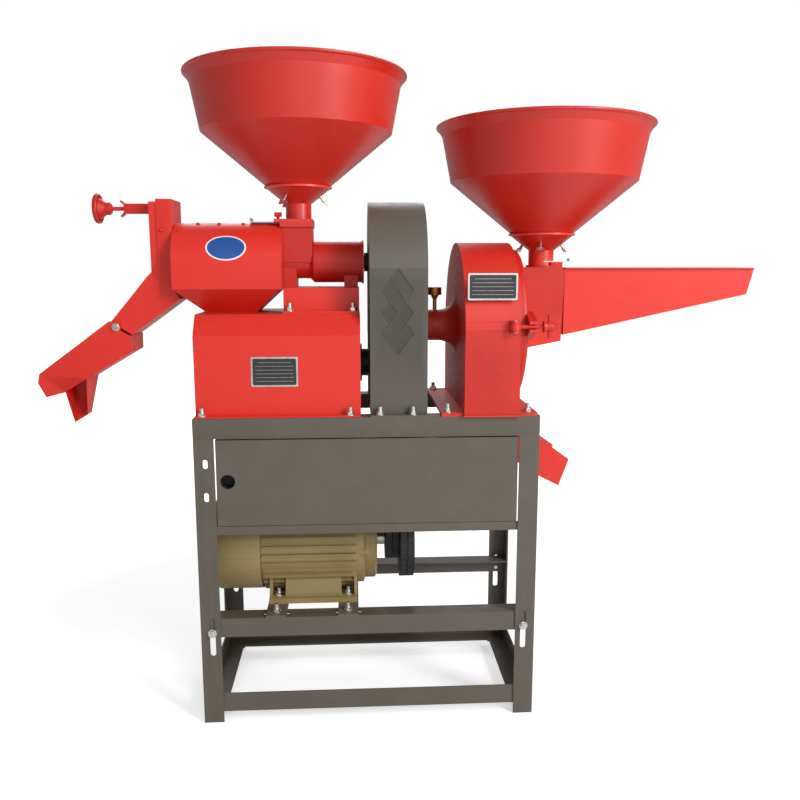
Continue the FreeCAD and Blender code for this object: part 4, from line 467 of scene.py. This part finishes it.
def switch_hole_painted_shade():
    """Painted shade: a black cup behind the hole in the front panel, open to the front, that stands
    in for the shade inside the frame.
    """
    bm = bmesh.new()
    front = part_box("front_panel")[0][1] + 2.0 * MM
    to_world = facing_front((machine_x(SWITCH["x"]), front, SWITCH["z"]))
    lip, floor, wall = 0.3 * MM, -SWITCH["depth"], 1.6 * MM
    count = 40
    loops = [[bm.verts.new(to_world(r * math.cos(2 * math.pi * i / count),
                                    r * math.sin(2 * math.pi * i / count), z))
              for i in range(count)]
             for r, z in ((SWITCH["outer"], lip), (SWITCH["outer"], floor),
                          (SWITCH["inner"], floor + wall), (SWITCH["inner"], lip))]
    outer_lip, outer_floor, inner_floor, inner_lip = loops
    for lower, upper in ((outer_lip, outer_floor), (inner_floor, inner_lip),
                         (inner_lip, outer_lip)):
        for i in range(count):
            j = (i + 1) % count
            bm.faces.new((lower[i], lower[j], upper[j], upper[i]))
    bm.faces.new(outer_floor)
    bm.faces.new(inner_floor)
    bmesh.ops.recalc_face_normals(bm, faces=bm.faces)
    smooth(piece("switch_hole_painted_shade", bm, "black", "machine"), 35.0)


switch_hole_painted_shade()


# ---------------------------------------------------------------- stage, lights and camera

def stage():
    """Pale floor and world that the camera sees as white; the floor keeps the shadow."""
    bpy.ops.mesh.primitive_circle_add(vertices=96, radius=FLOOR_RADIUS, fill_type="NGON")
    floor = bpy.context.object
    floor.name = "floor"
    floor_look = Shader("floor_white", (0.86, 0.86, 0.86), 0.85)
    grain = floor_look.span(floor_look.noise(6.0), 0.3, 0.7, 0.82, 0.9)
    floor_look.rough(grain)
    distance = floor_look.add("ShaderNodeVectorMath", operation="LENGTH")
    floor_look.link(floor_look.place, distance.inputs[0])
    glow = floor_look.span(distance.outputs["Value"], SHADE_NEAR, SHADE_FAR, GLOW_NEAR, GLOW_FAR)
    seen = floor_look.add("ShaderNodeMath", operation="MULTIPLY")
    floor_look.link(glow, seen.inputs[0])
    floor_look.link(seen_rays(floor_look.tree), seen.inputs[1])
    floor_look.link(seen.outputs[0], floor_look.bsdf.inputs["Emission Strength"])
    floor_look.bsdf.inputs["Emission Color"].default_value = (1.0, 1.0, 1.0, 1.0)
    floor.data.materials.append(floor_look.material)

    world = bpy.data.worlds.new("studio")
    SCENE.world = world
    world.use_nodes = True
    tree = world.node_tree
    ground = tree.nodes["Background"]
    ground.inputs["Color"].default_value = (0.95, 0.97, 1.0, 1.0)
    ground.inputs["Strength"].default_value = WORLD_LIGHT
    white = tree.nodes.new("ShaderNodeBackground")
    white.inputs["Color"].default_value = (1.0, 1.0, 1.0, 1.0)
    white.inputs["Strength"].default_value = 1.0
    path = tree.nodes.new("ShaderNodeLightPath")
    mix = tree.nodes.new("ShaderNodeMixShader")
    tree.links.new(path.outputs["Is Camera Ray"], mix.inputs["Fac"])
    tree.links.new(ground.outputs["Background"], mix.inputs[1])
    tree.links.new(white.outputs["Background"], mix.inputs[2])
    tree.links.new(mix.outputs["Shader"], tree.nodes["World Output"].inputs["Surface"])


def seen_rays(tree):
    """1 for camera and transmission rays, 0 for the others."""
    path = tree.nodes.new("ShaderNodeLightPath")
    both = tree.nodes.new("ShaderNodeMath")
    both.operation = "MAXIMUM"
    tree.links.new(path.outputs["Is Camera Ray"], both.inputs[0])
    tree.links.new(path.outputs["Is Transmission Ray"], both.inputs[1])
    return both.outputs[0]


def lamp(name, where, target, size, watts):
    """Soft box that looks at a point."""
    data = bpy.data.lights.new(name, "AREA")
    data.shape = "RECTANGLE"
    data.size, data.size_y = size
    data.energy = watts
    light = bpy.data.objects.new(name, data)
    SCENE.collection.objects.link(light)
    light.location = where
    light.rotation_euler = (Vector(target) - Vector(where)).to_track_quat("-Z", "Y").to_euler()


def camera():
    """Camera at the height of the drum, a little left of the machine's middle."""
    data = bpy.data.cameras.new("camera")
    data.lens = CAMERA_LENS
    data.sensor_width = 36.0
    eye = bpy.data.objects.new("camera", data)
    SCENE.collection.objects.link(eye)
    eye.location = CAMERA_PLACE
    eye.rotation_euler = [math.radians(turn) for turn in CAMERA_TURN]
    SCENE.camera = eye


stage()
lamp("key_box", (3.0, -3.1, 2.7), (0.0, 0.0, 0.8), (1.3, 3.4), 195.0)
lamp("front_box", (0.3, -3.0, 1.6), (0.0, 0.0, 0.65), (2.0, 1.6), 14.0)
lamp("back_box", (-0.6, 2.6, 2.6), (0.0, 0.0, 0.7), (2.4, 1.4), 30.0)
camera()
SCENE.view_settings.view_transform = "Standard"
